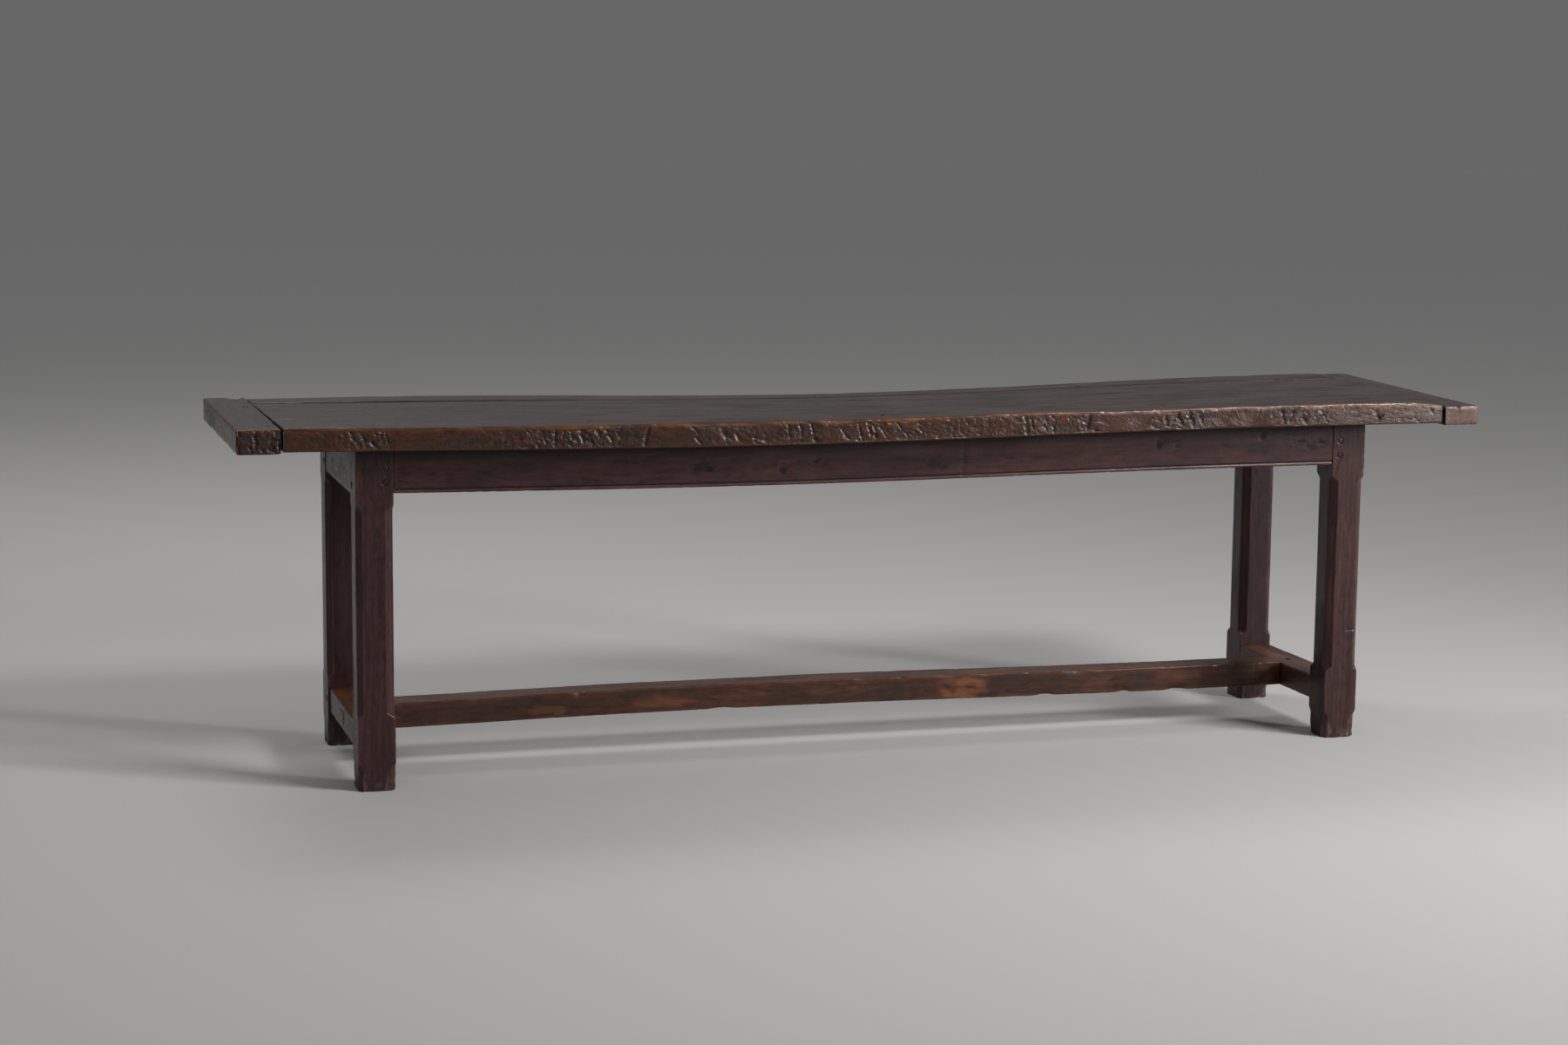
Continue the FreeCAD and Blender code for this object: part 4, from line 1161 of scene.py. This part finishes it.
def end_stretcher(end, x_sign, seed):
    """An end stretcher between two legs' lower blocks."""
    outer = x_sign * END_STRETCHER_OUTER
    peg_x = x_sign * CENTRE_PEG_X
    timber = squared(1, seed, ((x_sign * SHOULDER_X, outer), 4.4, EDGE_STEPS, around([peg_x])),
                     ((-SHOULDER_Y, SHOULDER_Y), 4.4, EDGE_STEPS, TENON_RIM_Y + around([0.0])),
                     ((STRETCHER_BOTTOM, END_STRETCHER_TOP), 4.0, EDGE_STEPS, TENON_RIM_Z))
    x, y, z = timber.points.T
    scallop = np.clip(2.6 * (1.0 + 0.7 * timber.noise((70, 110, 70), 20, 3)), 1.0, 7.0)
    timber.round(np.column_stack([scallop, np.full(len(x), 1.2), scallop]))
    timber.weather(hollow=0.8, dents=0.4, chips=1.4, rub=0.6, shoulder=2.5)
    face_up = timber.facing(2)
    worn_top = face_up * (0.6 + 0.5 * timber.noise((60, 150, 60), 21))
    timber.press(np.clip(worn_top, 0.0, 1.0), 0.8, wear=0.65)
    timber.peg_rims(x, y, face_up, [(peg_x, 0.0)])
    low, high = CENTRE_TENON_Z
    across = np.abs(y) - CENTRE_TENON_HALF_WIDTH
    sides = fade(across, 1.0) * ((z > low - 1.0) & (z < high + 1.0))
    ends = fade(np.minimum(np.abs(z - low), np.abs(z - high)), 1.0) * (across < 1.0)
    timber.press(np.maximum(sides, ends) * timber.facing(0, x_sign), 1.4, dirt=0.95)
    form = timber.settle(timber.carved(), (50.0, outer + 40.0 * x_sign), 110.0 * seed)
    add_piece(end + "_end_stretcher", "stretcher_oak", form)


centre_stretcher(seed=113)
for number, (end, x_sign) in enumerate(ENDS):
    end_stretcher(end, x_sign, seed=127 + 6 * number)


# Pegs

# A peg's domed head: shares of its radius, and how far below its tip they are
PEG_PROFILE = ((0.42, 0.04), (0.72, 0.16), (0.90, 0.40), (0.985, 0.85), (1.0, 1.6))
PEG_SIDES = 20
PEG_FLATS = 7
FRAME_PEG_LENGTH = 35.5
STRETCHER_PEG_LENGTH = 68.0
CENTRE_PEG_LENGTH = 46.0
TOP_PEG_LENGTH = 95.0
STAND = (0.3, 1.5)
SUNK = (-0.4, -1.0)
draws = np.random.default_rng(7)


def peg(head, outward, length, proud):
    """A hand-cut peg: a slightly faceted, domed head a little proud of the face, and its shank."""
    head, outward = np.array(head, float), np.array(outward, float)
    side = np.roll(outward, -1)
    other = np.cross(outward, side)
    lean = draws.uniform(-0.03, 0.03, 2)
    turn = draws.uniform(0.0, math.pi)
    flatness = 0.045 * draws.uniform(0.4, 1.0)
    angles = np.arange(PEG_SIDES) * math.tau / PEG_SIDES
    wobble = 1.0 - flatness * (0.5 + 0.5 * np.cos(PEG_FLATS * angles + turn))
    profile = [(share * PEG_RADIUS, proud - fall) for share, fall in PEG_PROFILE]
    profile += [(PEG_RADIUS, -length * 0.85), (0.7 * PEG_RADIUS, -length)]
    points = [head + outward * proud]
    for radius, level in profile:
        u, v = radius * wobble * np.cos(angles), radius * wobble * np.sin(angles)
        tilted = level + lean[0] * u + lean[1] * v
        points.extend(head + np.outer(tilted, outward) + np.outer(u, side) + np.outer(v, other))
    faces = []
    last = 1 + (len(profile) - 1) * PEG_SIDES
    for number in range(PEG_SIDES):
        following = (number + 1) % PEG_SIDES
        faces.append([0, 1 + number, 1 + following])
        for start in range(1, last, PEG_SIDES):
            below = start + PEG_SIDES
            faces.append([start + number, below + number, below + following, start + following])
    faces.append([last + number for number in range(PEG_SIDES)][::-1])

    axis = int(np.argmax(np.abs(outward)))
    form = Form(np.array(points), faces, axis)
    levels = (form.points - head) @ outward
    form.press(ease(-2.0, 0.2, levels) < 0.5, dirt=0.95)
    form.press(levels > proud - 0.5, wear=0.5 * draws.uniform(0.3, 1.0))
    return form.settle(form.points, np.roll(head, -axis)[1:] + draws.uniform(-9, 9, 2), 70.0 * axis)


def add_pegs(node, places, outward, length, stand=STAND):
    """A node's pegs; each stands out of its face by one of the two amounts in turn, give or take."""
    lifts = itertools.cycle(stand)
    pegs = [peg(place, outward, length, next(lifts) + draws.uniform(-0.15, 0.15)) for place in places]
    add_piece(node, "peg_oak", *pegs)


for row, y_sign in ROWS:
    places = [(x_sign * RAIL_PEG_X, y_sign * FRAME_Y, z) for _, x_sign in ENDS for z in RAIL_PEG_Z]
    add_pegs(row + "_rail_pegs", places, (0, y_sign, 0), FRAME_PEG_LENGTH, SUNK)
    places = [(x, y_sign * TOP_PEG_Y, float(top_z(x, y_sign * TOP_PEG_Y))) for x in TOP_PEG_X]
    add_pegs(row + "_top_pegs", places, (0, 0, 1), TOP_PEG_LENGTH)
for end, x_sign in ENDS:
    places = [(x_sign * FRAME_X, sign * END_RAIL_PEG_Y, z) for _, sign in ROWS for z in END_RAIL_PEG_Z]
    add_pegs(end + "_end_rail_pegs", places, (x_sign, 0, 0), FRAME_PEG_LENGTH)
    places = [(x_sign * FRAME_X, sign * STRETCHER_PEG_Y, STRETCHER_PEG_Z) for _, sign in ROWS]
    add_pegs(end + "_stretcher_pegs", places, (x_sign, 0, 0), STRETCHER_PEG_LENGTH)
    inner, outer, thickness, front_drop, back_drop = BREADBOARDS[end]
    peg_x = inner + x_sign * BREADBOARD_PEG_SETBACK
    places = [(peg_x, y, breadboard_top_z(y, front_drop, back_drop)) for y in BREADBOARD_PEG_Y]
    add_pegs(end + "_breadboard_pegs", places, (0, 0, 1), thickness)
centre_places = [(x_sign * CENTRE_PEG_X, 0.0, END_STRETCHER_TOP) for _, x_sign in ENDS]
add_pegs("centre_stretcher_pegs", centre_places, (0, 0, 1), CENTRE_PEG_LENGTH)

# The loose tongues stay hidden between the planks, as the CAD has them
tongue_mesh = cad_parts["plank_tongues"].data
tongue_mesh.materials.clear()
tongue_mesh.materials.append(materials["peg_oak"])


# Stage, light and camera, in metres

# The floor and its two colours, where they blend, and the strength of the light from all round
FLOOR_RADIUS = 45.0
FLOOR_SIDES = 96
PALE = (0.47, 0.467, 0.46, 1.0)
FAR = (0.50, 0.50, 0.50, 1.0)
FADE_START, FADE_END = 3.2, 13.0
WORLD_LOW, WORLD_HIGH = 0.1352, 0.32
WARM = (1.0, 0.985, 0.96)
WHITE = (1.0, 1.0, 1.0)

# Rectangular lamps: place, target, two sizes, watts, colour and how wide the light opens in degrees
LAMPS = {
    "key": ((3.6, -3.95, 4.6), (0.3, -0.2, 0.65), (1.7, 1.3), 190.0, WARM, 150.0),
    "side": ((5.0, -3.9, 1.9), (0.3, -0.2, 0.80), (0.8, 1.5), 34.0, WARM, 60.0),
    "fill": ((-4.6, -5.0, 2.0), (-0.3, 0.0, 0.5), (3.0, 2.4), 5.0, WHITE, 180.0),
    "back": ((-1.6, 3.4, 5.4), (0.0, 0.1, 0.5), (2.5, 2.0), 105.0, WHITE, 180.0),
}

# The camera solved from the photograph, in its 1800 by 1200 frame
FOCAL_PIXELS, FRAME_PIXELS, SENSOR_WIDTH = 3522.1, 1800.0, 36.0
CAMERA_YAW, CAMERA_PITCH, CAMERA_ROLL = 0.2838, 0.1453, 0.0089
CAMERA_PLACE = (-2.0667, -6.5825, 1.5075)


def studio_floor():
    """A plain pale matt floor, with a paler far part."""
    angles = [math.tau * number / FLOOR_SIDES for number in range(FLOOR_SIDES)]
    rim = [(FLOOR_RADIUS * math.cos(angle), FLOOR_RADIUS * math.sin(angle), 0.0) for angle in angles]
    mesh = bpy.data.meshes.new("studio_floor")
    mesh.from_pydata(rim, [], [list(range(FLOOR_SIDES))])
    material = bpy.data.materials.new("studio_floor")
    graph = Graph(material)
    distance = graph.vector("LENGTH", graph.node("ShaderNodeTexCoord", output="Object"), output="Value")
    colour = graph.mix(graph.span(distance, FADE_START, FADE_END), PALE, FAR)
    graph.surface({"Base Color": colour, "Roughness": 1.0, "Specular IOR Level": 0.0})
    mesh.materials.append(material)
    link_object("studio_floor", mesh)


def studio_world():
    """Even light from all round, a little brighter overhead."""
    world = bpy.data.worlds.new("studio")
    graph = Graph(world)
    direction = graph.node("ShaderNodeTexCoord", output="Generated")
    height = graph.node("ShaderNodeSeparateXYZ", direction, output="Z")
    glow = graph.span(height, 0.05, 0.9, WORLD_LOW, WORLD_HIGH, "LINEAR")
    graph.close("ShaderNodeOutputWorld", graph.node("ShaderNodeBackground", glow))
    bpy.context.scene.world = world


def soft_light(name, place, target, size, watts, colour, spread):
    """A lamp from a row of LAMPS, turned to its target."""
    lamp = bpy.data.lights.new(name, "AREA")
    lamp.shape = "RECTANGLE"
    lamp.size, lamp.size_y = size
    lamp.energy = watts
    lamp.spread = math.radians(spread)
    lamp.color = colour
    turn = (Vector(place) - Vector(target)).to_track_quat("Z", "Y").to_matrix().to_4x4()
    link_object(name, lamp).matrix_world = Matrix.Translation(place) @ turn


def photo_camera():
    """The photograph's camera, turned by its yaw, pitch and roll."""
    data = bpy.data.cameras.new("photo_camera")
    data.sensor_width = SENSOR_WIDTH
    data.lens = FOCAL_PIXELS / FRAME_PIXELS * SENSOR_WIDTH
    turns = ((-CAMERA_YAW, "Z"), (math.pi / 2 - CAMERA_PITCH, "X"), (CAMERA_ROLL, "Z"))
    pose = Matrix.Translation(CAMERA_PLACE)
    for angle, axis in turns:
        pose @= Matrix.Rotation(angle, 4, axis)
    bpy.context.scene.camera = link_object("photo_camera", data)
    bpy.context.scene.camera.matrix_world = pose


studio_floor()
studio_world()
for name, lamp in LAMPS.items():
    soft_light(name, *lamp)
photo_camera()
bpy.context.scene.view_settings.view_transform = "Standard"
